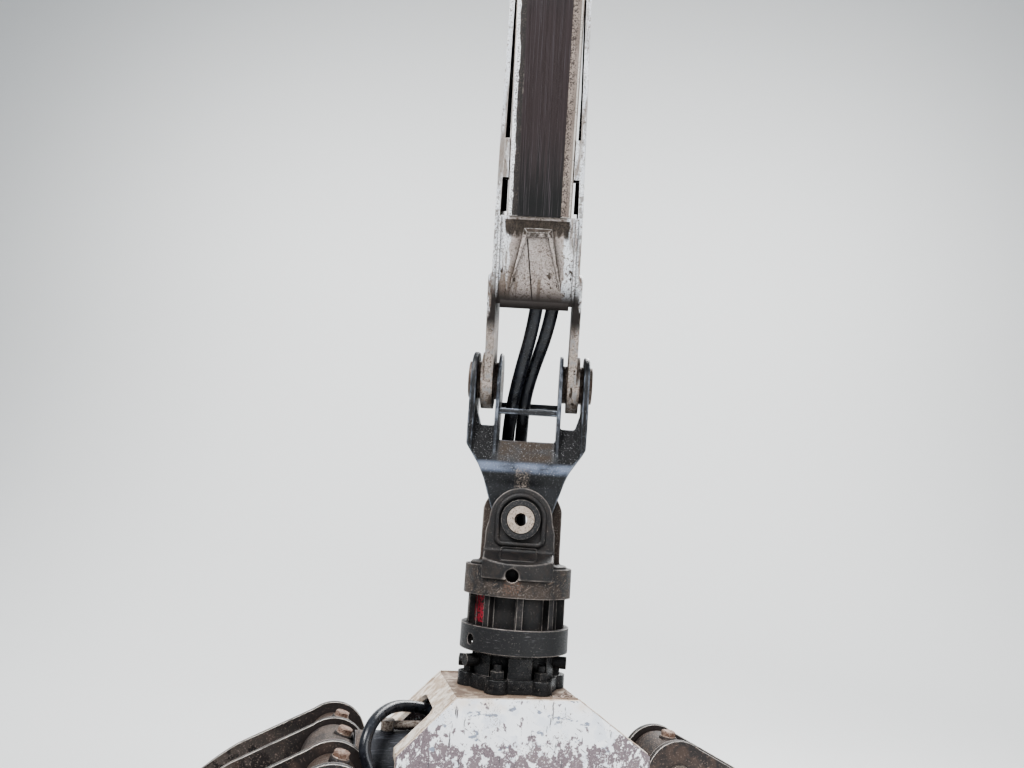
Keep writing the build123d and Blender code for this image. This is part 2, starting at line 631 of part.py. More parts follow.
# ring name, its span, normal of the hole's plane, middle of the hole from the pin, radius
ring_table = (
    ("upper", UPPER_RING, Vector(0, -1, 0), Vector(GREASE_HOLE[0], 0, GREASE_HOLE[1]), GREASE_HOLE[2]),
    ("lower", LOWER_RING, Vector(math.cos(side_turn), math.sin(side_turn), 0), Vector(0, 0, SIDE_HOLE[1]),
     SIDE_HOLE[2]),
)
for ring_name, ring_span, outwards, hole_middle, hole_radius in ring_table:
    with BuildPart() as guard_ring:
        with BuildSketch(level(SWIVEL, ring_span[0])):
            Circle(RING_RADIUS)
            Circle(RING_RADIUS - RING_WALL, mode=Mode.SUBTRACT)
        extrude(amount=ring_span[1] - ring_span[0])
        with BuildSketch(Plane(origin=SWIVEL + hole_middle, x_dir=UP, z_dir=outwards)):
            Circle(hole_radius)
        extrude(amount=RING_RADIUS, mode=Mode.SUBTRACT)
    save(guard_ring.part, "guard_ring_" + ring_name)

with BuildPart() as stator:
    with BuildSketch(level(SWIVEL, HEAD_BOTTOM)):
        Circle(STATOR_RADIUS)
    extrude(amount=STATOR_BOTTOM - HEAD_BOTTOM)
    rib_reach = RING_RADIUS - RING_WALL - GAP
    with BuildSketch(level(SWIVEL, HEAD_BOTTOM)):
        rib_middle = 0.5 * (STATOR_RADIUS + rib_reach - RIB_ROOT)
        with PolarLocations(rib_middle, RIB_COUNT, start_angle=RIB_TURN - 90):
            Rectangle(rib_reach - STATOR_RADIUS + RIB_ROOT, RIB_WIDTH)
        Circle(rib_reach, mode=Mode.INTERSECT)
    extrude(amount=LOWER_RING[0] + RIB_END - HEAD_BOTTOM)
save(stator.part, "stator")

# Rotor and grapple frame

neck_drop = ROTATOR_DROP + STATOR_BOTTOM - GAP
with BuildPart() as rotor_flange:
    with BuildSketch(grapple_level(0)):
        Circle(NECK_RADIUS)
        with PolarLocations(0.5 * FLANGE_PCD, LOBE_COUNT, start_angle=LOBE_TURN):
            Circle(BOLT_POCKET, mode=Mode.SUBTRACT)
    extrude(amount=neck_drop)
    with BuildSketch(grapple_level(0)):
        Circle(FLANGE_WAIST)
        with PolarLocations(0.5 * FLANGE_PCD, LOBE_COUNT, start_angle=LOBE_TURN):
            Circle(LOBE_RADIUS)
        with PolarLocations(0.5 * FLANGE_PCD, LOBE_COUNT, start_angle=LOBE_TURN):
            Circle(BOLT_HOLE_RADIUS, mode=Mode.SUBTRACT)
    extrude(amount=FLANGE_THICK)
save(rotor_flange.part, "rotor_flange")

with BuildPart() as rotor_ports:
    for angle, port_drop in ROTOR_PORTS:
        turn = math.radians(angle)
        outwards = ACROSS * math.cos(turn) + BEHIND * math.sin(turn)
        port_start = grapple_place(0, 0, ROTATOR_DROP + port_drop) + outwards * NECK_RADIUS
        with BuildSketch(Plane(origin=port_start, x_dir=UP, z_dir=outwards)):
            Circle(PORT_RADIUS)
        extrude(amount=PORT_REACH - NECK_RADIUS)
save(rotor_ports.part, "rotor_ports")

top_left, top_right = (shoulder_row[2] for shoulder_row in SHOULDERS)
inside_half = 0.5 * TOP_DEPTH - PLATE_THICK
with BuildPart() as top_plate:
    with BuildSketch(grapple_level(-TOP_THICK)):
        with Locations((0.5 * (top_right - top_left), 0)):
            Rectangle(top_left + top_right, 2 * inside_half)
        with PolarLocations(0.5 * FLANGE_PCD, LOBE_COUNT, start_angle=LOBE_TURN):
            Circle(BOLT_HOLE_RADIUS, mode=Mode.SUBTRACT)
    extrude(amount=TOP_THICK)
save(top_plate.part, "top_plate")

plate_middle = 0.5 * TOP_DEPTH - 0.5 * PLATE_THICK
for face_name, face in FACES:
    with BuildPart() as frame_plate:
        with BuildSketch(grapple_facing(face * plate_middle)):
            left_edge, right_edge = ([(side * edge, 0), (side * end, -drop), (side * end, -SIDE_DROP),
                                      (side * PIVOT_X, -PIVOT_DROP), (side * FLOOR_HALF, -APRON_DROP)]
                                     for name, side, edge, end, drop in SHOULDERS)
            with BuildLine():
                Polyline(*left_edge, *reversed(right_edge), close=True)
            make_face()
            with Locations((-PIVOT_X, -PIVOT_DROP), (PIVOT_X, -PIVOT_DROP)):
                Circle(PIVOT_BOSS)
            with Locations((-PIVOT_X, -PIVOT_DROP), (PIVOT_X, -PIVOT_DROP)):
                Circle(PIVOT_RADIUS, mode=Mode.SUBTRACT)
        extrude(amount=0.5 * PLATE_THICK, both=True)
    save(frame_plate.part, "frame_plate_" + face_name)

for name, side, edge, end, drop in SHOULDERS:
    slope_length = math.hypot(end - edge, drop)
    upright_thick = SHOULDER_THICK * slope_length / (end - edge)
    along = ACROSS * (side * (end - edge) / slope_length) - UP * (drop / slope_length)
    normal = ACROSS * (side * drop / slope_length) + UP * ((end - edge) / slope_length)
    with BuildPart() as shoulder:
        with BuildSketch(grapple_facing(0)):
            with BuildLine():
                Polyline((side * edge, 0), (side * end, -drop), (side * end, -drop - upright_thick),
                         (side * edge, -upright_thick), close=True)
            make_face()
        extrude(amount=inside_half, both=True)
        window_middle = grapple_place(side * edge, 0, 0) + along * (WINDOW_START + 0.5 * slope_length)
        with BuildSketch(Plane(origin=window_middle, x_dir=along, z_dir=normal)):
            RectangleRounded(slope_length, 2 * WINDOW_HALF, WINDOW_CORNER)
        extrude(amount=2 * SHOULDER_THICK, both=True, mode=Mode.SUBTRACT)
    save(shoulder.part, "shoulder_" + name)

with BuildPart() as frame_floor:
    with BuildSketch(grapple_level(-FLOOR_DROP - PLATE_THICK)):
        Rectangle(2 * FLOOR_HALF, 2 * inside_half)
    extrude(amount=PLATE_THICK)
save(frame_floor.part, "frame_floor")

with BuildPart() as hose_port_block:
    with BuildSketch(grapple_level(-TOP_THICK)):
        with Locations((PORT_BLOCK[0], PORT_BLOCK[1])):
            Rectangle(PORT_BLOCK[2], PORT_BLOCK[2])
    extrude(amount=TOP_THICK - PORT_BLOCK_DROP)
save(hose_port_block.part, "hose_port_block")

left_reach = LEFT_RIBS[1] + 0.5 * RIB_THICK
left_inner = LEFT_RIBS[0] - 0.5 * RIB_THICK
right_inner = RIGHT_RIB - 0.5 * RIB_THICK
# side name, side, inner and outer end of a stub pin
stub_table = (("left", -1, left_inner, left_reach), ("right", 1, right_inner, 0.5 * TOP_DEPTH))
for name, side, inner_end, outer_end in stub_table:
    with BuildPart() as pivot_pins:
        for face_name, face in FACES:
            pin_middle = face * 0.5 * (inner_end + outer_end)
            with BuildSketch(grapple_facing(pin_middle, side * PIVOT_X, -PIVOT_DROP)):
                Circle(PIVOT_RADIUS)
            extrude(amount=0.5 * (outer_end - inner_end), both=True)
            head_middle = face * (outer_end + GAP + 0.5 * PIN_HEAD_THICK)
            with BuildSketch(grapple_facing(head_middle, side * PIVOT_X, -PIVOT_DROP)):
                Circle(PIN_HEAD_RADIUS)
            extrude(amount=0.5 * PIN_HEAD_THICK + GAP, both=True)
    save(pivot_pins.part, "pivot_pins_" + name)

# Claws

lever_length = math.hypot(CYLINDER_X - PIVOT_X, PIVOT_DROP - CYLINDER_DROP)
lever_rest = math.degrees(math.atan2(CYLINDER_X - PIVOT_X, PIVOT_DROP - CYLINDER_DROP))
lever_turn = math.radians(lever_rest + CLAW_OPEN)
LEVER_PIN = (lever_length * math.sin(lever_turn), lever_length * math.cos(lever_turn))


def claw_outline():
    """Rib of a claw: lever boss, pivot boss, and a curved tine between an outer and an inner arc."""
    slope = math.atan2(LEVER_PIN[1], LEVER_PIN[0])
    rise = (-math.sin(slope), math.cos(slope))
    back_start = (LEVER_PIN[0] + PIN_BOSS, LEVER_PIN[1])
    back_end = on_arc(OUTER_CENTRE, OUTER_RADIUS, OUTER_START)
    outer_middle = on_arc(OUTER_CENTRE, OUTER_RADIUS, 0.5 * (OUTER_START + TIP_OUTER))
    tip_outer = on_arc(OUTER_CENTRE, OUTER_RADIUS, TIP_OUTER)
    tip_inner = on_arc(INNER_CENTRE, INNER_RADIUS, TIP_INNER)
    inner_middle = on_arc(INNER_CENTRE, INNER_RADIUS, 0.5 * (INNER_START + TIP_INNER))
    throat = on_arc(INNER_CENTRE, INNER_RADIUS, INNER_START)
    with BuildSketch() as outline:
        with BuildLine():
            Line(back_start, back_end)
            ThreePointArc(back_end, outer_middle, tip_outer)
            Line(tip_outer, tip_inner)
            ThreePointArc(tip_inner, inner_middle, throat)
            Polyline(throat, (LEVER_BOSS * rise[0], LEVER_BOSS * rise[1]),
                     (LEVER_PIN[0] + PIN_BOSS * rise[0], LEVER_PIN[1] + PIN_BOSS * rise[1]), back_start)
        make_face()
        with Locations(LEVER_PIN):
            Circle(PIN_BOSS)
        Circle(LEVER_BOSS)
    return outline.sketch


def arc_band(centre, radius, start, end):
    """Band of sheet on the inner side of an arc, from one angle to another."""
    middle = 0.5 * (start + end)
    inner = radius - SKIN_THICK
    with BuildSketch() as band:
        with BuildLine():
            ThreePointArc(on_arc(centre, radius, start), on_arc(centre, radius, middle),
                          on_arc(centre, radius, end))
            Line(on_arc(centre, radius, end), on_arc(centre, inner, end))
            ThreePointArc(on_arc(centre, inner, end), on_arc(centre, inner, middle),
                          on_arc(centre, inner, start))
            Line(on_arc(centre, inner, start), on_arc(centre, radius, start))
        make_face()
    return band.sketch


def make_tine(side, low, high):
    """One tine: two ribs with a back sheet and a mouth sheet between them."""
    with BuildPart() as tine:
        for behind in (low + 0.5 * RIB_THICK, high - 0.5 * RIB_THICK):
            with BuildSketch(claw_facing(side, behind)):
                add(claw_outline())
            extrude(amount=0.5 * RIB_THICK, both=True)
        with BuildSketch(claw_facing(side, 0.5 * (low + high))):
            add(arc_band(OUTER_CENTRE, OUTER_RADIUS, SKIN_START, OUTER_SKIN_TIP))
            add(arc_band(INNER_CENTRE, INNER_RADIUS + SKIN_THICK, SKIN_START, INNER_SKIN_TIP))
        extrude(amount=0.5 * (high - low), both=True)
        with BuildSketch(claw_facing(side, 0.5 * (low + high))):
            with Locations(LEVER_PIN):
                Circle(CYLINDER_PIN_RADIUS)
            Circle(PIVOT_RADIUS + RUNNING)
        extrude(amount=high - low, both=True, mode=Mode.SUBTRACT)
    return tine.part


save(make_tine(-1, -left_reach, -left_inner), "tine_left_front")
save(make_tine(-1, left_inner, left_reach), "tine_left_back")
save(make_tine(1, -RIGHT_RIB - 0.5 * RIB_THICK, RIGHT_RIB + 0.5 * RIB_THICK), "tine_right")

with BuildPart() as claw_left_back:
    with BuildSketch(claw_facing(-1, 0)):
        add(arc_band(OUTER_CENTRE, OUTER_RADIUS, SKIN_START, BACK_SKIN_END))
    extrude(amount=left_inner, both=True)
save(claw_left_back.part, "claw_left_back")

bushing_low = LEFT_RIBS[0] + 0.5 * RIB_THICK
bushing_high = LEFT_RIBS[1] - 0.5 * RIB_THICK
with BuildPart() as lever_bushings:
    for face_name, face in FACES:
        bushing_middle = face * 0.5 * (bushing_low + bushing_high)
        with BuildSketch(grapple_facing(bushing_middle, -CYLINDER_X, -CYLINDER_DROP)):
            Circle(BUSHING_RADIUS)
            Circle(CYLINDER_PIN_RADIUS, mode=Mode.SUBTRACT)
        extrude(amount=0.5 * (bushing_high - bushing_low), both=True)
save(lever_bushings.part, "lever_bushings")

plate_inner = 0.5 * TOP_DEPTH - PLATE_THICK - GAP
plate_outer = 0.5 * TOP_DEPTH + GAP
# side name, side, spans of the bushings between rib and frame plate
pivot_bushing_table = (("left", -1, ((bushing_low, plate_inner), (plate_outer, bushing_high))),
                       ("right", 1, ((RIGHT_RIB + 0.5 * RIB_THICK, plate_inner),)))
for name, side, spans in pivot_bushing_table:
    with BuildPart() as pivot_bushings:
        for face_name, face in FACES:
            for low, high in spans:
                with BuildSketch(grapple_facing(face * 0.5 * (low + high), side * PIVOT_X, -PIVOT_DROP)):
                    Circle(PIVOT_BUSHING)
                    Circle(PIVOT_RADIUS + RUNNING, mode=Mode.SUBTRACT)
                extrude(amount=0.5 * (high - low), both=True)
    save(pivot_bushings.part, "pivot_bushings_" + name)

with BuildPart() as lever_pin_left:
    with BuildSketch(grapple_facing(0, -CYLINDER_X, -CYLINDER_DROP)):
        Circle(CYLINDER_PIN_RADIUS)
    extrude(amount=left_reach + PIN_PROUD, both=True)
save(lever_pin_left.part, "lever_pin_left")

with BuildPart() as lever_pin_caps:
    for face_name, face in FACES:
        cap_middle = face * (RIGHT_RIB + 0.5 * PIN_PROUD)
        with BuildSketch(grapple_facing(cap_middle, CYLINDER_X, -CYLINDER_DROP)):
            Circle(CYLINDER_PIN_RADIUS)
        extrude(amount=0.5 * (RIB_THICK + PIN_PROUD), both=True)
save(lever_pin_caps.part, "lever_pin_caps")

# Cylinder

with BuildPart() as barrel:
    with BuildSketch(grapple_beside(-CYLINDER_X + TUBE_START, 0, -CYLINDER_DROP)):
        Circle(BARREL_RADIUS)
    extrude(amount=BARREL_END + CYLINDER_X - TUBE_START)
    with BuildSketch(grapple_facing(0, -CYLINDER_X, -CYLINDER_DROP)):
        Circle(EYE_RADIUS)
    extrude(amount=0.5 * BARREL_EYE_WIDTH, both=True)
    with BuildSketch(grapple_beside(PLUG_INNER, 0, -CYLINDER_DROP)):
        Circle(BARREL_BORE)
    extrude(amount=BARREL_END - PLUG_INNER, mode=Mode.SUBTRACT)
    with BuildSketch(grapple_facing(0, -CYLINDER_X, -CYLINDER_DROP)):
        Circle(CYLINDER_PIN_RADIUS + RUNNING)
    extrude(amount=BARREL_EYE_WIDTH, both=True, mode=Mode.SUBTRACT)
save(barrel.part, "barrel")

with BuildPart() as gland:
    with BuildSketch(grapple_beside(BARREL_END, 0, -CYLINDER_DROP)):
        Circle(GLAND_RADIUS)
        Circle(ROD_RADIUS + RUNNING, mode=Mode.SUBTRACT)
    extrude(amount=GLAND_LENGTH)
save(gland.part, "gland")

with BuildPart() as cylinder_pipe:
    pipe_start = PLUG_INNER + PIPE_FROM_EYE
    pipe_end = BARREL_END - PIPE_FROM_END
    with BuildSketch(grapple_beside(pipe_start, 0, -CYLINDER_DROP + BARREL_RADIUS + PIPE_RISE)):
        Circle(PIPE_RADIUS)
    extrude(amount=pipe_end - pipe_start)
    with BuildSketch(grapple_level(-CYLINDER_DROP)):
        with Locations((pipe_start, 0), (pipe_end, 0)):
            Circle(PIPE_BLOCK)
    extrude(amount=BARREL_RADIUS + PIPE_RISE + PIPE_RADIUS + PIPE_BLOCK_TOP)
    with BuildSketch(grapple_beside(PLUG_INNER, 0, -CYLINDER_DROP)):
        Circle(BARREL_RADIUS)
    extrude(amount=BARREL_END - PLUG_INNER, mode=Mode.SUBTRACT)
save(cylinder_pipe.part, "cylinder_pipe")

with BuildPart() as barrel_port:
    with BuildSketch(grapple_level(-CYLINDER_DROP)):
        with Locations((BARREL_PORT[0], BARREL_PORT[1])):
            Circle(PORT_RADIUS)
    extrude(amount=BARREL_PORT[2] + CYLINDER_DROP)
    with BuildSketch(grapple_beside(PLUG_INNER, 0, -CYLINDER_DROP)):
        Circle(BARREL_RADIUS)
    extrude(amount=BARREL_END - PLUG_INNER, mode=Mode.SUBTRACT)
save(barrel_port.part, "barrel_port")

with BuildPart() as rod:
    with BuildSketch(grapple_beside(ROD_TAIL, 0, -CYLINDER_DROP)):
        Circle(ROD_RADIUS)
    extrude(amount=CYLINDER_X - TUBE_START - ROD_TAIL)
    with BuildSketch(grapple_facing(0, CYLINDER_X, -CYLINDER_DROP)):
        Circle(EYE_RADIUS)
    extrude(amount=0.5 * ROD_EYE_WIDTH, both=True)
    with BuildSketch(grapple_facing(0, CYLINDER_X, -CYLINDER_DROP)):
        Circle(CYLINDER_PIN_RADIUS)
    extrude(amount=ROD_EYE_WIDTH, both=True, mode=Mode.SUBTRACT)
save(rod.part, "rod")

with BuildPart() as rod_eye_pin:
    with BuildSketch(grapple_facing(0, CYLINDER_X, -CYLINDER_DROP)):
        Circle(CYLINDER_PIN_RADIUS)
    extrude(amount=0.5 * ROD_EYE_WIDTH - 2 * GAP, both=True)
save(rod_eye_pin.part, "rod_eye_pin")

# Hoses and what holds them


def beam_point(point):
    """A point across, behind the beam's middle plane and up the beam from the tip pin."""
    return TIP + Vector(point[0], 0, 0) + BEAM_BACK * point[1] + UP_BEAM * point[2]


def bend_radii(points):
    """The largest radius that each corner's two runs allow, 0.45 of the shorter over the half turn."""
    radii = []
    for before, corner, after in zip(points, points[1:], points[2:]):
        first = corner - before
        second = after - corner
        half_turn = math.radians(0.5 * first.get_angle(second))
        radii.append(0.45 * min(first.length, second.length) / math.tan(half_turn))
    return radii


def make_hose(points, radius, name):
    """A round hose of straight runs and tangent arcs along a route."""
    radii = bend_radii(points)
    with BuildPart() as hose:
        with BuildLine():
            route = FilletPolyline(*points, radius=radii)
        with BuildSketch(Plane(origin=route @ 0, z_dir=route % 0)):
            Circle(radius)
        sweep()
    length = route.length
    share = hose.part.volume / (math.pi * radius * radius * length)
    print(name, "length", round(length), "smallest radius", round(min(radii)),
          "volume share", round(share, 3))
    save(hose.part, name)


with BuildPart() as hose_bulkhead:
    coupling_places = [HOSE_IN_BEAM[name][0] for name, side in SIDES]
    bulkhead_back = 0.5 * BEAM_DEPTH - BEAM_WALL
    coupling_foot = BEAM_LENGTH + COUPLING_ABOVE_BORE
    with BuildSketch(across_beam(coupling_foot + 0.5 * (COUPLING_LENGTH - BULKHEAD_THICK))):
        with Locations((0, 0.5 * (BULKHEAD_FRONT + bulkhead_back))):
            Rectangle(BEAM_WIDTH - 2 * BEAM_WALL - 2 * BEAM_CORNER, bulkhead_back - BULKHEAD_FRONT)
    extrude(amount=BULKHEAD_THICK)
    with BuildSketch(across_beam(coupling_foot)):
        for place in coupling_places:
            with Locations((place[0], place[1])):
                Circle(COUPLING_RADIUS)
    extrude(amount=COUPLING_LENGTH)
save(hose_bulkhead.part, "hose_bulkhead")

with BuildPart() as hose_clamp:
    clamp_places = [(HOSE_TO_HEAD[name][0][0], HOSE_TO_HEAD[name][0][1]) for name, side in SIDES]
    clamp_left = clamp_places[0][0] - BOOM_HOSE_RADIUS - CLAMP_EDGES[0]
    clamp_right = clamp_places[1][0] + BOOM_HOSE_RADIUS + CLAMP_EDGES[1]
    with BuildSketch(level(TIP, CLAMP_SPAN[0])):
        with Locations((0.5 * (clamp_left + clamp_right), 0.5 * (CLAMP_REACH[0] + CLAMP_REACH[1]))):
            Rectangle(clamp_right - clamp_left, CLAMP_REACH[1] - CLAMP_REACH[0])
        with Locations(*clamp_places):
            Circle(BOOM_HOSE_RADIUS + CLAMP_PLAY, mode=Mode.SUBTRACT)
    extrude(amount=CLAMP_SPAN[1] - CLAMP_SPAN[0])
save(hose_clamp.part, "hose_clamp")

with BuildPart() as head_ports:
    head_places = [HOSE_TO_HEAD[name][-1] for name, side in SIDES]
    with BuildSketch(level(SWIVEL, HEAD_FLOOR)):
        for place in head_places:
            with Locations((place[0], place[1])):
                Circle(BOOM_HOSE_RADIUS + HEAD_PORT_WALL)
    extrude(amount=HEAD_PORT_TOP - GAP - HEAD_FLOOR)
save(head_ports.part, "head_ports")

with BuildPart() as hose_clip:
    clip_low = LEFT_RIBS[0] + 0.5 * RIB_THICK
    with BuildSketch(grapple_level(CLIP_PLACE[2] - 0.5 * CLIP_HEIGHT)):
        with Locations((CLIP_PLACE[0] + CLIP_SHIFT, -0.5 * (clip_low + CLIP_FRONT))):
            Rectangle(CLIP_WIDTH, CLIP_FRONT - clip_low)
        with Locations((CLIP_PLACE[0], CLIP_PLACE[1])):
            Circle(GRAPPLE_HOSE_RADIUS + CLAMP_PLAY, mode=Mode.SUBTRACT)
    extrude(amount=CLIP_HEIGHT)
save(hose_clip.part, "hose_clip")

for name, side in SIDES:
    upper_points = [beam_point(point) for point in HOSE_IN_BEAM[name]]
    upper_points += [TIP + Vector(*point) for point in HOSE_TO_CLAMP[name]]
    make_hose(upper_points, BOOM_HOSE_RADIUS, "boom_hose_" + name)
    lower_points = [TIP + Vector(*point) for point in HOSE_TO_HEAD[name]]
    make_hose(lower_points, BOOM_HOSE_RADIUS, "link_hose_" + name)

make_hose([grapple_place(*point) for point in GRAPPLE_HOSE], GRAPPLE_HOSE_RADIUS, "grapple_hose")
make_hose([grapple_place(*point) for point in BARREL_HOSE], GRAPPLE_HOSE_RADIUS, "barrel_hose")
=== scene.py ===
# %% [markdown]
# Tip of a timber crane, dressed in Blender. The construction model gives every piece its place and size.
# This file adds the camera, the hoses, the finishes and the small parts that a drawing leaves out: bolts,
# weld beads, crimped hose ends and dirt. The frame is the construction model, imported once.

# %% Libraries and the frame
import json
import math
import bmesh
import bpy
import numpy as np
from mathutils import Matrix, Vector


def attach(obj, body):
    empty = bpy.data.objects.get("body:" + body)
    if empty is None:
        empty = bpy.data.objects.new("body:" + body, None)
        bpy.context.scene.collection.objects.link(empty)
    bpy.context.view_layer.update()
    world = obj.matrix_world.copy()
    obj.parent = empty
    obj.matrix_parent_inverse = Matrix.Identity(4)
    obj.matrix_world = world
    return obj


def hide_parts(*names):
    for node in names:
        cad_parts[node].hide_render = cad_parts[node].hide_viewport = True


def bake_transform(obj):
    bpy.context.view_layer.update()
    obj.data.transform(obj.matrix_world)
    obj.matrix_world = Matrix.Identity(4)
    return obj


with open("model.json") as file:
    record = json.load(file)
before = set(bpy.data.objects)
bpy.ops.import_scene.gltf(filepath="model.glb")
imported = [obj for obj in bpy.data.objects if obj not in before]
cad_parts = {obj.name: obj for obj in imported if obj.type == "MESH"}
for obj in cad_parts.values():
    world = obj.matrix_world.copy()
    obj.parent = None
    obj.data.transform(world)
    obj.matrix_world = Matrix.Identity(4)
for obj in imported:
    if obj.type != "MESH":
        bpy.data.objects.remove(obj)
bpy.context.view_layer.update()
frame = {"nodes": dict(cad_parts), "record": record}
print("pieces in the frame:", len(frame["nodes"]))

# %% [markdown]
# The crane hangs from a leaning boom, so three places matter more than others: the link's hinge pin at the
# boom tip, the rotator's pin under it, and the middle of the grapple's flange. Points along the boom are
# given across the beam, behind its middle plane and up along it. Points on the grapple are given across,
# behind and up, turned with the grapple about the upright axis.

# %% Places and directions, in metres
MM = 0.001
BOOM_LEAN = math.radians(24.0)
GRAPPLE_YAW = math.radians(14.8)
RIGHT = np.array([1.0, 0.0, 0.0])
UP = np.array([0.0, 0.0, 1.0])
UP_BEAM = np.array([0.0, -math.sin(BOOM_LEAN), math.cos(BOOM_LEAN)])
BEAM_BACK = np.array([0.0, math.cos(BOOM_LEAN), math.sin(BOOM_LEAN)])
ACROSS = np.array([math.cos(GRAPPLE_YAW), math.sin(GRAPPLE_YAW), 0.0])
BEHIND = np.array([-math.sin(GRAPPLE_YAW), math.cos(GRAPPLE_YAW), 0.0])
TIP = BEAM_BACK * 20 * MM - UP_BEAM * 1300 * MM
SWIVEL = TIP - UP * 298 * MM
FLANGE = SWIVEL - UP * 332 * MM
PIN_SIDE, PIN_HEIGHT = 343, -156  # mm from the flange's middle to the pins of the claws' upper arms


def on_beam(points):
    """Points given across, behind and up the beam from the tip pin, in mm, as points of the frame."""
    p = np.atleast_2d(np.asarray(points, float)) * MM
    return TIP + p[:, :1] * RIGHT + p[:, 1:2] * BEAM_BACK + p[:, 2:] * UP_BEAM


def from_tip(points):
    """Points given across, back and up from the tip pin, in mm, as points of the frame."""
    return TIP + np.atleast_2d(np.asarray(points, float)) * MM


def on_grapple(points):
    """Points given across, behind and up from the flange's middle, in mm, as points of the frame."""
    p = np.atleast_2d(np.asarray(points, float)) * MM
    return FLANGE + p[:, :1] * ACROSS + p[:, 1:2] * BEHIND + p[:, 2:] * UP


print("tip pin", TIP.round(4), "rotator pin", SWIVEL.round(4), "flange", FLANGE.round(4))

# %% [markdown]
# The photographer stood in front of the hanging crane and held the camera a little below the rotator pin,
# tipped up by 11 degrees and rolled by 4. A lens of 26 mm on a 36 mm wide sensor gives that wide view. A
# roll is a turn about the line of sight, so it is applied first, then the tilt about the level axis, and the
# turn of 2.8 degrees to the left last.

# %% Camera
CAMERA_PLACE = (0.0377, -1.0530, -1.4955)
TIPPED_UP, ROLLED, TURNED_LEFT = math.radians(11.0), math.radians(4.0), math.radians(2.8)
camera = bpy.data.objects.new("camera", bpy.data.cameras.new("camera"))
camera.data.sensor_width = 36.0
camera.data.lens = 26.0
camera.data.clip_start = 0.05
camera.data.clip_end = 60.0
bpy.context.scene.collection.objects.link(camera)
tilt = Matrix.Rotation(math.pi / 2 + TIPPED_UP, 4, "X")
roll = Matrix.Rotation(ROLLED, 4, "Z")
turn_left = Matrix.Rotation(TURNED_LEFT, 4, "Z")
camera.matrix_world = Matrix.Translation(CAMERA_PLACE) @ turn_left @ tilt @ roll
bpy.context.scene.camera = camera
print("camera at", tuple(round(c, 3) for c in camera.location))

# %% [markdown]
# A hydraulic hose is a smooth bent tube. The bend is drawn once, as a NURBS spline that a few control points
# pull into shape, and the tube is a circle carried along the points that Blender works out for that spline.
# The circle must not twist, so each station's frame is the last one turned only as far as the path turns.
# That is called parallel transport.

# %% Points of a smooth path, and a profile carried along it
def smooth_path(points, name):
    """The points of a NURBS curve of order 3 whose control points are given, as Blender works them out."""
    data = bpy.data.curves.new(name, "CURVE")
    data.dimensions = "3D"
    data.resolution_u = 12
    spline = data.splines.new("NURBS")
    spline.points.add(len(points) - 1)
    spline.points.foreach_set("co", np.c_[points, np.ones(len(points))].ravel())
    spline.order_u = 3
    spline.use_endpoint_u = True
    curve = bpy.data.objects.new(name, data)
    bpy.context.scene.collection.objects.link(curve)
    bpy.context.view_layer.update()
    mesh = bpy.data.meshes.new_from_object(curve)
    line = np.empty(len(mesh.vertices) * 3)
    mesh.vertices.foreach_get("co", line)
    bpy.data.objects.remove(curve)
    bpy.data.meshes.remove(mesh)
    return line.reshape(-1, 3)


def path_frames(line):
    """Side and top direction at each point of a path. Each pair is the last one turned with the path."""
    tangent = np.gradient(line, axis=0)
    tangent /= np.linalg.norm(tangent, axis=1)[:, None]
    side = np.cross(tangent[0], (0.31, 0.87, 0.39))
    sides = []
    for along in tangent:
        side = side - along * (side @ along)
        side = side / np.linalg.norm(side)
        sides.append(side)
    sides = np.array(sides)
    return sides, np.cross(tangent, sides)


def piece_from(name, points, faces):
    """A new piece of the scene from its points and faces."""
    mesh = bpy.data.meshes.new(name)
    mesh.from_pydata(points, [], faces)
    piece = bpy.data.objects.new(name, mesh)
    bpy.context.scene.collection.objects.link(piece)
    return piece


def grid_mesh(name, points, close_around=True, close_along=False):
    """A surface from a grid of points, rows by columns. Where the columns close around, the rows may close
    along too, and otherwise the end rows get caps."""
    rows, cols = points.shape[:2]
    index = np.arange(rows * cols).reshape(rows, cols)
    index = np.vstack([index, index[:1]]) if close_along else index
    right = np.roll(index, -1, axis=1) if close_around else index[:, 1:]
    left = index if close_around else index[:, :-1]
    faces = np.stack([left[:-1], right[:-1], right[1:], left[1:]], axis=-1).reshape(-1, 4).tolist()
    if close_around and not close_along:
        faces += [index[0, ::-1].tolist(), index[-1].tolist()]
    piece = piece_from(name, points.reshape(-1, 3), faces)
    piece.data.shade_smooth()
    return piece


def unit_circles(side, top, around):
    """A circle of radius 1 at each station s. The point at angle a is side(s) cos a + top(s) sin a."""
    angle = np.linspace(0, 2 * math.pi, around, endpoint=False)
    return side[:, None] * np.cos(angle)[None, :, None] + top[:, None] * np.sin(angle)[None, :, None]


def round_tube(name, line, radii, around=24):
    """A circle of the given radius carried along a path. radii is one value or one for each point. A point is
    line(s) + radius(s) times the unit circle at s."""
    side, top = path_frames(line)
    size = np.broadcast_to(np.asarray(radii, float), (len(line),))
    return grid_mesh(name, line[:, None] + size[:, None, None] * unit_circles(side, top, around))


def path_length(line):
    """Sum of the steps along a path."""
    return float(np.linalg.norm(np.diff(line, axis=0), axis=1).sum())


# %% [markdown]
# Two hoses come down inside the beam, pass behind the folded web at the boom tip and are clamped at the back
# of the link. From the clamp they run down to the rotator's head. The cut at the clamp is where one hinge
# ends and the next begins, so each piece only ever crosses one joint. The third hose leaves the frame
# through the left shoulder's window, loops forward and is clipped to the left claw, and the fourth runs from
# that clip to the cylinder.

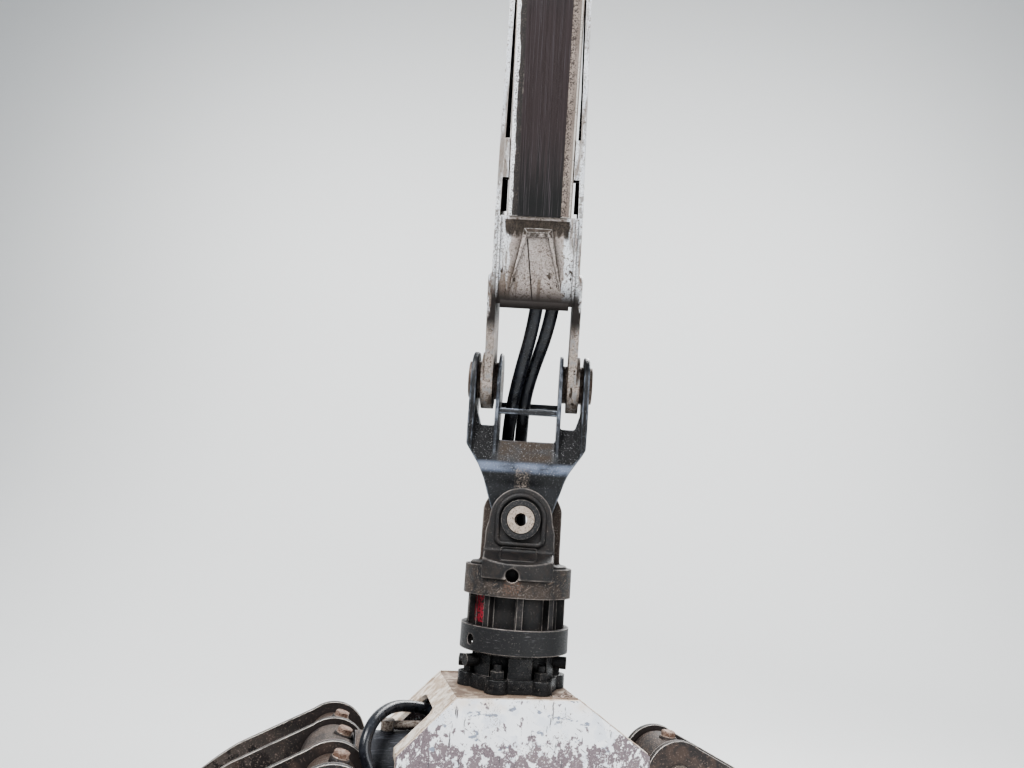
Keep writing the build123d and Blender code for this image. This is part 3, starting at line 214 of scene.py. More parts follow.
# %% Hose routes, as chosen for the construction model
HOSE_IN_BEAM = {
    "left": ((2, 40, 1318), (2, 40, 1130), (5, 31, 860), (9, 12, 610), (9, -14, 430), (8, -32, 290),
             (8, -35, 195), (-4, -28, 110)),
    "right": ((34, 40, 1318), (34, 40, 1130), (37, 29, 860), (40, 10, 610), (41, -15, 430), (42, -31, 290),
              (43, -35, 195), (28, -28, 110)),
}
HOSE_TO_CLAMP = {
    "left": ((-20, -24, 34), (-32, -7, -24), (-39, 18, -68), (-43, 45, -106), (-45, 66, -138),
             (-46, 77, -168), (-46, 78, -197)),
    "right": ((6, -8, 34), (-9, 13, -24), (-13, 34, -68), (-14, 53, -106), (-16, 69, -138), (-17, 77, -168),
              (-17, 78, -197)),
}
HOSE_TO_HEAD = {
    "left": ((-46, 78, -201), (-46, 79, -230), (-43, 82, -266), (-39, 84, -308), (-39, 84, -346)),
    "right": ((-17, 78, -201), (-16, 79, -230), (-10, 82, -266), (-4, 84, -308), (-4, 84, -346)),
}
GRAPPLE_HOSE = ((-72, 34, -68), (-104, 34, -68), (-142, 33, -63), (-188, 26, -50), (-232, -2, -43),
                (-264, -44, -50), (-282, -80, -66), (-290, -98, -99), (-272, -104, -134), (-249, -103, -168),
                (-240, -101, -206), (-240, -101, -243))
BARREL_HOSE = ((-240, -101, -247), (-239, -101, -277), (-221, -101, -301), (-192, -100, -318),
               (-158, -92, -320), (-133, -70, -308), (-123, -45, -290), (-122, -32, -265), (-122, -32, -237))

# route points, radius in mm, the two bodies it bends between, the points where the bend starts and ends, and
# the length in mm in the construction model
hoses = {}
for side in ("left", "right"):
    upper = np.r_[on_beam(HOSE_IN_BEAM[side]), from_tip(HOSE_TO_CLAMP[side])]
    hoses["boom_hose_" + side] = (upper, 14.0, "boom", "link", 7, 11, 1544)
    hoses["link_hose_" + side] = (from_tip(HOSE_TO_HEAD[side]), 14.0, "link", "rotator", 1, -2, 145)
hoses["grapple_hose"] = (on_grapple(GRAPPLE_HOSE), 11.0, "grapple", "claw_left", 3, 10, 458)
hoses["barrel_hose"] = (on_grapple(BARREL_HOSE), 11.0, "claw_left", "cylinder_barrel", 1, 7, 248)

# %% Hoses
hose_pieces = {}
hose_lines = {}
for node_name, (route, radius, first_body, last_body, bend_start, bend_end, length) in hoses.items():
    line = smooth_path(route, node_name + "_route")
    tube = round_tube(node_name + "_tube", line, radius * MM)
    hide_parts(node_name)
    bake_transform(tube)
    hose_pieces[node_name] = tube
    hose_lines[node_name] = line
    print(node_name, "length", round(path_length(line), 3), "of", length * MM)

# %% [markdown]
# Every finish here is built the way the real surface came about: a paint or metal first, then what happened
# to it later, laid over it where a mask is white. Wear follows edges, dust lies where it was caught, and
# rust starts at chips. The masks are noise measured in real millimetres and distances along the crane's own
# directions, so that a dirty band sits where the photograph shows it and stays with its piece when the crane
# moves.

# %% Colours, plain surfaces and the directions of distances
def linear(hex_colour):
    """An sRGB hex colour as linear red, green and blue, with alpha 1."""
    parts = [int(hex_colour[i:i + 2], 16) / 255 for i in (1, 3, 5)]
    return (*[c / 12.92 if c <= 0.04045 else ((c + 0.055) / 1.055) ** 2.4 for c in parts], 1.0)


def coat(hex_colour, rough, metal=0.0):
    """A plain surface: colour, roughness and metalness."""
    return [linear(hex_colour), rough, metal]


FAR = 2000  # mm, a limit of a band that lies beyond the part
BEAM_WAYS = (RIGHT, BEAM_BACK, UP_BEAM)
LEVEL_WAYS = (RIGHT, np.array([0.0, 1.0, 0.0]), UP)
GRAPPLE_WAYS = (ACROSS, BEHIND, UP)
print("painted white is", [round(c, 3) for c in linear("#edeff2")[:3]], "in linear light")

# %% [markdown]
# A finish is a tree of nodes that Blender reads at every point of the surface. The class below holds one
# such tree and the words that it is built from: patches of noise, bands between two distances, sides that
# face a direction, worn edges and dirty corners. A word gives back one output, so words can be put inside
# each other.

# %% A finish: nodes, masks and layers
class Finish:
    """A new material. Its distances across, back and up are those on the piece from an origin along three
    directions, in metres, and place is the vector of all three."""

    def __init__(self, name, origin, ways):
        self.material = bpy.data.materials.new(name)
        self.material.use_nodes = True
        self.tree = self.material.node_tree
        point = self.node("TexCoord", out="Object")
        offset = self.node("VectorMath", {0: point, 1: tuple(origin)}, operation="SUBTRACT")
        self.across, self.back, self.up = [self.along(offset, tuple(way)) for way in ways]
        self.place = self.node("CombineXYZ", {0: self.across, 1: self.back, 2: self.up})

    def feed(self, socket, value):
        """A value, or another node's output, given to an input."""
        if isinstance(value, bpy.types.NodeSocket):
            self.tree.links.new(value, socket)
        else:
            socket.default_value = value

    def node(self, kind, inputs=(), out=0, **settings):
        """A shader node of a kind, with a value or another output for each input. Returns one output."""
        made = self.tree.nodes.new("ShaderNode" + kind)
        for key, value in settings.items():
            setattr(made, key, value)
        for key, value in dict(inputs).items():
            self.feed(made.inputs[key], value)
        return made.outputs[out]

    def along(self, vector, way):
        """How far a vector reaches along a direction."""
        return self.node("VectorMath", {0: vector, 1: way}, out="Value", operation="DOT_PRODUCT")

    def off_middle(self):
        """The distance from the middle plane, on either side."""
        return self.node("Math", {0: self.across}, operation="ABSOLUTE")

    def from_axis(self, one, other):
        """The distance from an axis, from the two distances square to it."""
        return self.node("VectorMath", {0: self.node("CombineXYZ", {0: one, 1: other})}, out="Value",
                         operation="LENGTH")

    def moved(self, value, other, times):
        """value + times * other. A ragged mask makes a distance wavy, and another distance makes it slant."""
        return self.node("Math", {0: other, 1: times, 2: value}, operation="MULTIPLY_ADD")

    def fading(self, value, black, white):
        """Mask that goes softly from black to white as a value goes from one number to another."""
        return self.node("MapRange", {"Value": value, "From Min": black, "From Max": white},
                         interpolation_type="SMOOTHSTEP")

    def inverse(self, mask):
        """Mask that is white where another is black."""
        return self.node("MapRange", {"Value": mask, "To Min": 1.0, "To Max": 0.0})

    def facing(self, direction, low=0.5, high=0.8):
        """Mask that is white where the surface faces a direction of the piece, or where it faces away from
        that direction if the two limits are negative."""
        return self.fading(self.along(self.node("TexCoord", out="Normal"), tuple(direction)), low, high)

    def patches(self, size, level, soft=0.03, stretch=(1.0, 1.0, 1.0), detail=7.0, more=None, gain=0.15,
                place=None):
        """Mask of ragged patches about size mm across: white where fractal noise is above a level. Where the
        mask more is white, the noise is raised by gain, so the patches grow together there."""
        place = self.place if place is None else place
        scaled = self.node("VectorMath", {0: place, 1: stretch}, operation="MULTIPLY")
        noise = self.node("TexNoise", {"Vector": scaled, "Scale": 1 / (size * MM), "Detail": detail,
                                       "Roughness": 0.62})
        if more is not None:
            noise = self.moved(noise, more, gain)
        return self.fading(noise, level - soft, level + soft)

    def band(self, distance, low, high, soft):
        """Mask that is white where a distance lies between low and high mm, fading out over soft mm."""
        return self.both(self.fading(distance, (low - soft) * MM, low * MM),
                         self.fading(distance, (high + soft) * MM, high * MM))

    def joined(self, operation, masks):
        """Masks put together one after another, and held between black and white."""
        result = masks[0]
        for mask in masks[1:]:
            result = self.node("Math", {0: result, 1: mask}, operation=operation, use_clamp=True)
        return result

    def both(self, *masks):
        """White where every mask is."""
        return self.joined("MULTIPLY", masks)

    def either(self, *masks):
        """White where any mask is."""
        return self.joined("MAXIMUM", masks)

    def total(self, *masks):
        """Masks added up."""
        return self.joined("ADD", masks)

    def less(self, mask, taken):
        """A mask with another taken away."""
        return self.joined("SUBTRACT", (mask, taken))

    def edges(self, radius, ragged, cast=False):
        """The normal rounded over sharp edges by radius mm, and a mask of worn edges, broken up by another.
        A casting has no sharp edges, so there it comes from how strongly the fine mesh bulges."""
        rounded = self.node("Bevel", {"Radius": radius * MM}, samples=6)
        if cast:
            bulge = self.node("NewGeometry", out="Pointiness")
            sharp = self.node("MapRange", {"Value": bulge, "From Min": 0.52, "From Max": 0.58})
        else:
            sharp = self.fading(self.along(rounded, self.node("NewGeometry", out="Normal")), 0.995, 0.86)
        broken = self.node("MapRange", {"Value": ragged, "To Min": 0.35, "To Max": 1.0})
        return rounded, self.both(sharp, broken)

    def grime_and_shade(self, reach):
        """Mask that is white in corners and gaps, where dirt collects and where shade falls: ambient
        occlusion over reach mm. A colour laid under it is dirt and painted shade at once.
        """
        open_sky = self.node("AmbientOcclusion", {"Distance": reach * MM}, out="AO", samples=6)
        return self.node("MapRange", {"Value": open_sky, "From Min": 0.95, "From Max": 0.4857})

    def laid(self, under, *layers):
        """A surface with further layers over it. Each layer is a mask, or several that it needs at once, and
        then the colour, roughness and metalness of a plain surface, or a surface made before."""
        for masks, *over in layers:
            mask = self.both(*masks) if isinstance(masks, tuple) else masks
            over = over[0] if isinstance(over[0], list) else coat(*over)
            mixed = [self.node("Mix", {0: mask, 6: under[0], 7: over[0]}, out=2, data_type="RGBA")]
            for below, above in zip(under[1:], over[1:]):
                if not (isinstance(below, float) and below == above):
                    below = self.node("Mix", {0: mask, 2: below, 3: above}, data_type="FLOAT")
                mixed.append(below)
            under = mixed
        return under

    def close(self, surface, normal=None, height=None, depth=0.0):
        """The material, whose shader gets a surface, the rounded normal and a relief of a depth in mm."""
        if normal is None:
            normal = self.node("NewGeometry", out="Normal")
        if height is not None:
            normal = self.node("Bump", {"Height": height, "Distance": depth * MM, "Strength": 1.0,
                                        "Normal": normal})
        shader = self.tree.nodes["Principled BSDF"]
        for key, value in zip(("Base Color", "Roughness", "Metallic", "Normal"), (*surface, normal)):
            self.feed(shader.inputs[key], value)
        return self.material


# %% [markdown]
# The extension beam slides in and out of a sleeve on nylon pads. The pads polish a track down the middle of
# its face: the paint there is gone, and dark steel with a brown film of grease and dust is left, drawn out
# into fine upright streaks. Beside the track the old white paint holds on, speckled with grime. A painted
# shadow line runs along each edge of the track.

# %% Beam: paint with the slide track worn through
def beam_finish():
    skin = Finish("beam_paint_finish", TIP, BEAM_WAYS)
    grit = skin.patches(2.2, 0.57)
    blotch = skin.patches(50, 0.5, 0.12)
    ragged = skin.patches(20, 0.5, 0.2, (1.0, 1.0, 0.25))
    streaks = skin.patches(5, 0.5, 0.16, (1.0, 1.0, 0.012))
    thin_streaks = skin.patches(1.5, 0.6, 0.06, (1.0, 1.0, 0.012))
    rounded, worn = skin.edges(4, blotch)
    wavy = skin.moved(skin.across, ragged, 7 * MM)
    half = skin.off_middle()
    front = skin.facing(BEAM_BACK, -0.5, -0.8)
    # the track is 86 mm wide and runs down the front and the back
    track = skin.both(skin.band(half, -FAR, 43, 1.5), skin.either(front, skin.facing(BEAM_BACK)))
    # left of the track the paint is white with a painted shadow line at its edge, right of it a speckled
    # painted shadow line, then grey and then white
    paint = skin.laid(
        coat("#b7aea6", 0.6),
        (blotch, "#a0968e", 0.65),
        ((skin.band(wavy, -80, -49, 1.5), front), "#eceef0", 0.55),
        # a painted shadow line along the track's left edge
        ((skin.band(wavy, -50, -38, 1), front), "#221e1d", 0.7),
        ((skin.band(skin.across, 43, 58, 3), front),
         skin.laid(coat("#9c9087", 0.65), (ragged, "#756961", 0.7))),
        ((skin.band(wavy, -54, -48, 5), front, skin.patches(2.2, 0.53, 0.05)), "#4c4642", 0.7),
        # a speckled painted shadow line along the track's right edge
        ((skin.band(skin.across, 42, 52, 5), front, skin.patches(3, 0.52, 0.05)), "#3a322e", 0.7),
        ((skin.band(skin.across, 62, 75, 3), front), "#f3efe8", 0.5))
    # the bare steel is browner high up and blackest just above the boom tip
    steel = skin.laid(
        coat("#1c1d20", 0.42, 0.25),
        (skin.band(skin.up, 500, 700, 130), "#261a1a", 0.5, 0.15),
        (skin.band(skin.up, 340, 430, 110), "#070707", 0.6, 0.1),
        ((streaks, skin.band(skin.up, 470, FAR, 90)), "#362d2e", 0.5, 0.2),
        (thin_streaks, "#4d474a", 0.4, 0.4))
    surface = skin.laid(
        paint,
        ((worn, blotch), "#e6e2dc", 0.5),
        ((grit, skin.patches(30, 0.45, 0.1)), "#4a403b", 0.7),
        (track, steel))
    height = skin.total(streaks, grit)
    return skin.close(surface, rounded, height, 0.12)


# %% [markdown]
# The pads themselves are blocks of dark nylon. They are softer than the paint they run on, so they carry
# long scratches and a dull, waxy surface.

# %% Slide pads
def nylon_finish():
    skin = Finish("slide_pad_nylon_finish", TIP, BEAM_WAYS)
    scratches = skin.patches(2, 0.6, 0.05, (1.0, 1.0, 0.03))
    dust = skin.patches(20, 0.55, 0.1)
    rounded, worn = skin.edges(2, dust)
    surface = skin.laid(
        coat("#26272a", 0.5),
        (dust, "#4a4642", 0.7),
        (scratches, "#606064", 0.45),
        (worn, "#55555a", 0.5))
    return skin.close(surface, rounded, scratches, 0.1)


# %% [markdown]
# The boom tip was painted white over the welded sheet. Grapple and brush knocked chips out of it down to
# brown steel, and mud dried in a speckle over the lower half, thickest under the beam's end and on the
# rolled lower edge. The rolled lower edge is near black: grease, and painted shade under the roll. Where two
# sheets meet, the paint has worn bright along the ridge.

# %% Boom tip: chipped white paint
def tip_finish():
    skin = Finish("boom_tip_paint_finish", TIP, BEAM_WAYS)
    half = skin.off_middle()
    blotch = skin.patches(60, 0.52, 0.1)
    runs = skin.patches(20, 0.56, 0.06, (1.0, 1.0, 0.15))
    # up the beam from the pin: dirt low down, the web's dark foot of grease and painted shade, and the dirty
    # head under the beam's end
    low = skin.band(skin.up, -100, 230, 60)
    foot = skin.band(skin.up, 150, 186, 44)
    ragged = skin.patches(14, 0.5, 0.2, (1.0, 1.0, 0.4))
    rough_up = skin.moved(skin.up, ragged, 16 * MM)
    head = skin.band(rough_up, 338, 400, 14)
    cheek_low = skin.band(rough_up, -100, 150, 40)
    # from the middle outwards: the web, the white cheeks beside it and their chipped outer edges
    wavy = skin.moved(half, ragged, 9 * MM)
    middle = skin.band(wavy, -FAR, 68, 5)
    outer = skin.band(half, 84, 250, 10)
    # the cheeks' faces that look at the middle: their normal points against the side that they stand on
    inward = skin.along(skin.node("TexCoord", out="Normal"), tuple(RIGHT))
    inward = skin.node("Math", {0: inward, 1: skin.node("Math", {0: skin.across}, operation="SIGN")},
                       operation="MULTIPLY")
    inner_face = skin.fading(inward, -0.75, -0.9)
    beside = skin.band(wavy, 62, 250, 3)
    on_web = skin.both(middle, skin.band(skin.up, 150, 350, 2))
    fine = skin.patches(1.5, 0.565, more=low, gain=0.02)
    grit = skin.patches(1.8, 0.53, 0.03)
    speckle = skin.patches(4, 0.6, more=skin.either(low, head), gain=0.03)
    chips = skin.patches(16, 0.63, 0.008, (1.0, 1.0, 0.6))
    flecks = skin.patches(7, 0.585, 0.01, (1.0, 1.0, 0.5), more=outer, gain=0.03)
    rounded, worn = skin.edges(3, speckle)
    # the crack between two sheets leans to the left on its way up
    seam_bow = skin.node("MapRange", {"Value": skin.up, "From Min": 190 * MM, "From Max": 312 * MM,
                                      "To Min": -5 * MM, "To Max": -20 * MM})
    seam = skin.band(skin.node("Math", {0: skin.across, 1: seam_bow}, operation="SUBTRACT"), -0.9, 0.9, 0.7)
    crack = skin.both(seam, skin.band(skin.up, 192, 312, 5), skin.facing(BEAM_BACK, -0.5, -0.8))
    surface = skin.laid(
        coat("#b9b0ab", 0.58),
        (blotch, "#aba19b", 0.62),
        (beside, "#eceef1", 0.5),
        ((beside, blotch), "#dfe3e9", 0.5),
        ((cheek_low, beside), "#aba199", 0.65),
        ((beside, runs), "#8f867f", 0.65),
        ((runs, low), "#7b6f66", 0.7),
        (speckle, "#675a50", 0.7),
        (fine, "#463830", 0.75),
        ((flecks, beside, outer), "#8d8a88", 0.6),
        ((head, on_web), "#4d443c", 0.8),
        ((head, on_web, ragged), "#2f2720", 0.8),
        ((head, on_web, grit), "#1a1410", 0.8),
        ((inner_face, skin.band(skin.up, 205, FAR, 10)),
         skin.laid(coat("#d8d6d4", 0.6), (grit, "#26211f", 0.75), (chips, "#3a322d", 0.7))),
        ((chips, skin.either(beside, low)), "#35291f", 0.6, 0.1),
        # corners and gaps: brown dirt and painted shade
        (skin.grime_and_shade(22), "#33291f", 0.8),
        ((worn, skin.band(skin.up, 205, FAR, 10)), "#f3efe9", 0.5),
        (crack, "#1f1713", 0.8),
        # the rolled foot of the web and cheeks: grease, and painted shade under the roll
        ((foot, skin.band(wavy, -FAR, 96, 5)), "#1a120e", 0.7, 0.1))
    # the speckles and the crack are sunk into the paint
    height = skin.total(speckle, fine, crack)
    return skin.close(surface, rounded, skin.inverse(height), 0.25)


# %% [markdown]
# The link is a steel casting under thin black paint. Its nose carries a painted sheen of the sky, bluish with
# bright specks, and every edge has been rubbed to light steel by hoses and brush. The shelves beside the
# saddle carry painted shade. Dry dust has settled in the saddle between the two inner plates, and a small
# patch of bark and rust clings under the nose.

# %% Link: black casting, light edges, dust in the saddle
def link_finish(name, cast=False):
    """Black paint with light edges and dust. cast is for the rounded copy of the casting."""
    skin = Finish(name, TIP, LEVEL_WAYS)
    half = skin.off_middle()
    grain = skin.patches(1.6, 0.5, 0.15)
    blotch = skin.patches(35, 0.5, 0.1)
    dusty = skin.band(skin.up, -205, -95, 30)
    speckle = skin.patches(2.2, 0.655, 0.02, more=dusty, gain=0.03)
    rounded, worn = skin.edges(5, blotch, cast)
    # the nose carries a painted sheen of the sky, the shelves beside the saddle are dull and carry painted
    # shade, and bark clings under the nose
    front = skin.facing(LEVEL_WAYS[1], -0.1, -0.5)
    nose_sky_sheen = skin.both(skin.band(skin.up, -196, -188, 11), front)
    shelf_shade = skin.both(front, skin.band(half, 72, 121, 5), skin.band(skin.up, -176, -60, 12))
    cloud = skin.patches(30, 0.42, 0.14, (0.5, 1.0, 1.0))
    saddle = skin.both(skin.band(skin.up, -172, -120, 14), skin.band(half, -FAR, 50, 12))
    bark = skin.both(skin.band(skin.across, -12, 6, 10), skin.band(skin.up, -236, -200, 12),
                     skin.patches(2.2, 0.53, 0.03))
    surface = skin.laid(
        coat("#101216", 0.34),
        (blotch, "#191b20", 0.4),
        (grain, "#0e0f11", 0.42),
        # painted shade on the shelves between the outer ears and the guide plates
        (shelf_shade, "#08080a", 0.85),
        ((saddle, cloud), "#28211d", 0.85),
        ((saddle, grain, cloud), "#43392f", 0.85),
        # the painted sheen of the sky on the nose
        ((nose_sky_sheen, cloud), "#6c7587", 0.42, 0.3),
        (speckle, "#8b8a8d", 0.6),
        # bright specks on the nose, part of its painted sheen
        ((speckle, nose_sky_sheen), "#c3c7cc", 0.5),
        (bark, "#8b8077", 0.85),
        (worn, skin.laid(coat("#59606c", 0.4, 0.4), (blotch, "#a9b1bf", 0.38, 0.6))))
    return skin.close(surface, rounded, skin.total(grain, speckle), 0.2)


# %% [markdown]
# The rotator is cast and machined iron under black paint. It hangs where every log brushes past, so its
# outline is worn bright, and the light edge colour also paints the highlight along the outline. Brown dust
# sticks to its sides, and the guard rings carry long level scratches. Black grime and painted shade fill the
# corners, and a rust stain runs down from the grease hole.

# %% Rotator: dusty black iron
def rotator_finish(name, cast=False):
    """Black paint on machined iron, with its dust and scratches. cast is for the rounded copy of the head."""
    skin = Finish(name, SWIVEL, LEVEL_WAYS)
    radius = skin.from_axis(skin.across, skin.back)
    grain = skin.patches(1.6, 0.5, 0.15)
    dust = skin.patches(28, 0.5, 0.09)
    # the two guard rings, the glossy neck under them and the back ear
    upper = skin.both(skin.band(skin.up, -153, -93, 1), skin.band(radius, 108, 115, 1))
    lower = skin.both(skin.band(skin.up, -260, -210, 1), skin.band(radius, 108, 115, 1))
    neck = skin.band(skin.up, -420, -262, 2)
    back_ear = skin.both(skin.band(skin.back, 34, 64, 3), skin.band(skin.up, -88, 100, 2))
    speckle = skin.patches(2.6, 0.645, 0.02, more=skin.either(upper, back_ear), gain=0.05)
    level_marks = skin.patches(1.8, 0.65, 0.03, (0.08, 0.08, 1.0))
    slant_place = skin.node("VectorRotate", {"Vector": skin.place, "Angle": 0.6}, rotation_type="Y_AXIS")
    slant_marks = skin.patches(3, 0.62, 0.02, (0.08, 0.3, 1.0), place=slant_place)
    rounded, worn = skin.edges(3.5, dust, cast)
    worn = skin.less(worn, skin.both(neck, 0.6))
    # the rust stain under the grease hole, and the red paint left behind a rib
    stain = skin.both(skin.band(skin.across, -18, 8, 12), skin.band(skin.up, -140, -122, 12),
                      skin.patches(3, 0.54))
    red = skin.both(skin.band(skin.across, -82, -62, 1), skin.band(skin.up, -206, -154, 2),
                    skin.patches(6, 0.47, 0.01), skin.facing(LEVEL_WAYS[1], 0.0, -0.3))
    smear = skin.patches(12, 0.56, 0.06, (1.0, 1.0, 0.5))
    surface = skin.laid(
        coat("#121113", 0.42),
        (dust, "#221c1a", 0.55),
        (smear, "#302722", 0.65),
        (grain, "#0e0d0d", 0.5),
        ((upper, dust), "#3a312b", 0.7),
        ((upper, slant_marks), "#6d5f54", 0.55, 0.2),
        ((upper, level_marks, dust), "#7b736d", 0.5, 0.3),
        (lower, "#121214", 0.42),
        ((lower, level_marks), "#5f5d5f", 0.45, 0.4),
        ((back_ear, dust), "#4d4139", 0.8),
        (back_ear, "#3d332d", 0.8),
        (neck, "#0e0e10", 0.24),
        ((neck, skin.patches(14, 0.6)), "#2a2826", 0.5),
        (speckle, "#6f6862", 0.65),
        (stain, "#5c4538", 0.8),
        (red, "#9c2333", 0.5),
        # corners and gaps: black grime and painted shade
        (skin.grime_and_shade(12), "#0c0b0c", 0.85),
        # light edges: worn metal, and a painted highlight along the outline
        (worn, "#a49c96", 0.38, 0.5))
    return skin.close(surface, rounded, skin.total(grain, speckle, level_marks), 0.2)


# %% [markdown]
# Pins and bolts are bare steel that weather has turned brown-grey, with light metal where they turn or where
# a spanner held them. The hose fittings and the flange's nuts are blackened steel. The rotator's cross pin
# shows a beige-grey end inside a black collar.

# %% Steel fittings and pins
def steel_finish(name, colour, film, grit, metal=0.7, cross_pin=False):
    """Bare steel under a film, with grit on it. The cross pin has a dark collar round its end."""
    skin = Finish(name, SWIVEL, LEVEL_WAYS)
    grain = skin.patches(1.2, 0.5, 0.1)
    speckle = skin.patches(3, 0.58)
    blotch = skin.patches(12, 0.52, 0.06)
    rounded, worn = skin.edges(1.5, blotch)
    layers = [(blotch, film, 0.7, 0.1), (grain, film, 0.6, 0.4), (speckle, grit, 0.8)]
    if cross_pin:
        radius = skin.from_axis(skin.across, skin.up)
        collar = skin.band(radius, 30.5, 60, 0.6)
        layers += [(skin.band(radius, 28, 30, 0.6), "#0b0b0c", 0.8), (collar, "#19191b", 0.45),
                   ((collar, speckle), "#4b4744", 0.6)]
    surface = skin.laid(coat(colour, 0.42, metal), *layers, (worn, "#b5ada4", 0.35, 0.7))
    return skin.close(surface, rounded, skin.total(grain, speckle), 0.1)


# %% [markdown]
# A hydraulic hose has a cover of black synthetic rubber, cured under a fabric wrap that leaves a faint
# weave. It is satin when new and greys where it rubs.

# %% Hose cover
def rubber_finish():
    skin = Finish("hose_rubber_finish", TIP, LEVEL_WAYS)
    weave = skin.patches(0.9, 0.5, 0.2, detail=2.0)
    dust = skin.patches(20, 0.5, 0.12)
    scuff = skin.patches(6, 0.62, 0.03)
    surface = skin.laid(coat("#14151a", 0.24), (dust, "#20232a", 0.36), (scuff, "#3a3d43", 0.45))
    return skin.close(surface, height=weave, depth=0.05)


# %% [markdown]
# The grapple's frame was painted twice. The front plate is white, knocked through to a mauve-grey primer
# that spreads towards its lower corners, with dark drag marks. The sloping shoulders and the edges of the
# plates are cream, and the top plate, where water stands, is brown with rust and flakes.

# %% Grapple frame: white plate, cream shoulders, rusty top
def white_finish():
    skin = Finish("frame_white_paint_finish", FLANGE, GRAPPLE_WAYS)
    # the primer shows in zones: both lower corners and along the foot
    left_zone = skin.band(skin.moved(skin.across, skin.up, 1.2), -FAR, -270, 90)
    low_zone = skin.band(skin.up, -FAR, -118, 85)
    right_zone = skin.band(skin.moved(skin.across, skin.up, -0.9), 270, FAR, 60)
    zone = skin.either(left_zone, low_zone, right_zone)
    primer = skin.patches(16, 0.62, 0.012, (1.0, 1.0, 0.8), 9.0, zone, 0.17)
    grey = skin.patches(20, 0.63, 0.015, (0.7, 1.0, 1.3), 9.0)
    fine = skin.patches(2.2, 0.58, 0.02)
    islands = skin.patches(3.5, 0.6, 0.02)
    wide = skin.patches(90, 0.5, 0.1)
    # drag marks, upright and slanting
    drag = skin.patches(6, 0.65, 0.01, (1.0, 1.0, 0.12))
    slant_place = skin.node("VectorRotate", {"Vector": skin.place, "Angle": -0.6}, rotation_type="Y_AXIS")
    slant = skin.patches(4, 0.65, 0.01, (0.12, 1.0, 1.0), place=slant_place)
    rounded, worn = skin.edges(3, fine)
    not_front = skin.facing(BEHIND, -0.6, -0.3)
    cream = skin.laid(
        coat("#dccfc1", 0.55),
        (wide, "#cbb9a6", 0.6),
        (skin.patches(12, 0.6, 0.03), "#8d6d55", 0.7),
        (fine, "#a28b78", 0.7))
    surface = skin.laid(
        coat("#edeff2", 0.45),
        (wide, "#f6f7f9", 0.42),
        (skin.patches(40, 0.56, 0.05), "#dfe3ea", 0.5),
        ((skin.band(skin.up, -8, 5, 22), wide), "#e4dbd2", 0.55),
        (grey, "#868d9b", 0.5),
        (primer, "#776b70", 0.6),
        ((primer, fine), "#4f464a", 0.65),
        ((primer, islands), "#d9d6d8", 0.55),
        (drag, "#514d51", 0.55, 0.1),
        (slant, "#6b6468", 0.55, 0.1),
        ((fine, skin.patches(60, 0.57, 0.05)), "#8e857f", 0.65),
        (not_front, cream),
        ((worn, wide), "#5f5450", 0.55, 0.2))
    relief = skin.total(primer, drag, slant)
    return skin.close(surface, rounded, skin.inverse(relief), 0.3)


def cream_finish(name, base, light, rust, rust_level):
    """Cream paint of two shades with rust. A higher rust_level leaves less of it."""
    skin = Finish(name, FLANGE, GRAPPLE_WAYS)
    wide = skin.patches(70, 0.5, 0.1)
    fine = skin.patches(2, 0.6)
    mottle = skin.patches(22, rust_level, 0.09, more=skin.band(skin.up, -25, 5, 30), gain=0.05)
    rounded, worn = skin.edges(3, fine)
    surface = skin.laid(
        coat(base, 0.6),
        (wide, light, 0.55),
        (mottle, rust, 0.75),
        ((mottle, fine), "#54453a", 0.8),
        ((skin.patches(6, 0.64), wide), "#645244", 0.75),
        # corners and gaps: dirt and painted shade
        (skin.grime_and_shade(30), "#6a5a4c", 0.8),
        ((worn, mottle), "#8a7b70", 0.5, 0.3))
    return skin.close(surface, rounded, skin.total(fine, mottle), 0.35)


# %% [markdown]
# The claws are welded boxes of black-painted plate. Bark polishes their edges to a thin bright line and
# scours the faces brown, while the upper arms keep most of their paint.

# %% Claws
def claw_finish():
    skin = Finish("claw_black_paint_finish", FLANGE, GRAPPLE_WAYS)
    # bark rubs the lower claws, from about 260 mm under the flange
    low = skin.band(skin.up, -FAR, -260, 160)
    grain = skin.patches(1.8, 0.52, 0.12)
    speckle = skin.patches(3.5, 0.61, 0.02, more=low, gain=0.04)
    blotch = skin.patches(50, 0.5, 0.09)
    scour = skin.patches(30, 0.56, 0.05, (0.4, 1.0, 0.4))
    polish = skin.patches(20, 0.5, 0.04, (0.5, 1.0, 0.5))
    rounded, worn = skin.edges(3, skin.patches(20, 0.42, 0.06))
    surface = skin.laid(
        coat("#191717", 0.42),
        (blotch, "#2a2321", 0.52),
        (grain, "#151213", 0.5),
        ((scour, skin.either(low, blotch)), "#43362f", 0.62),
        ((low, polish), "#6a625d", 0.45, 0.5),
        (speckle, "#6b5b52", 0.65),
        ((low, speckle), "#978c84", 0.5, 0.4),
        # corners and gaps: dirt and painted shade
        (skin.grime_and_shade(30), "#231a17", 0.85),
        (worn, "#dcd6cf", 0.35, 0.5))
    return skin.close(surface, rounded, skin.total(grain, speckle), 0.2)


# %% [markdown]
# The cylinder between the claws is painted black over a ground steel tube, and drips and dust have greyed
# it. Its hard pipe is bare steel with brown rust, and the barrel's eye is dusty like the claws. The rod is
# hard chrome on ground steel: nearly a mirror, with lines along it too fine to see one by one, so they are
# drawn 1.5 mm wide and faint. The dirt packed into the slots is soil and bark, dry and without any gloss.

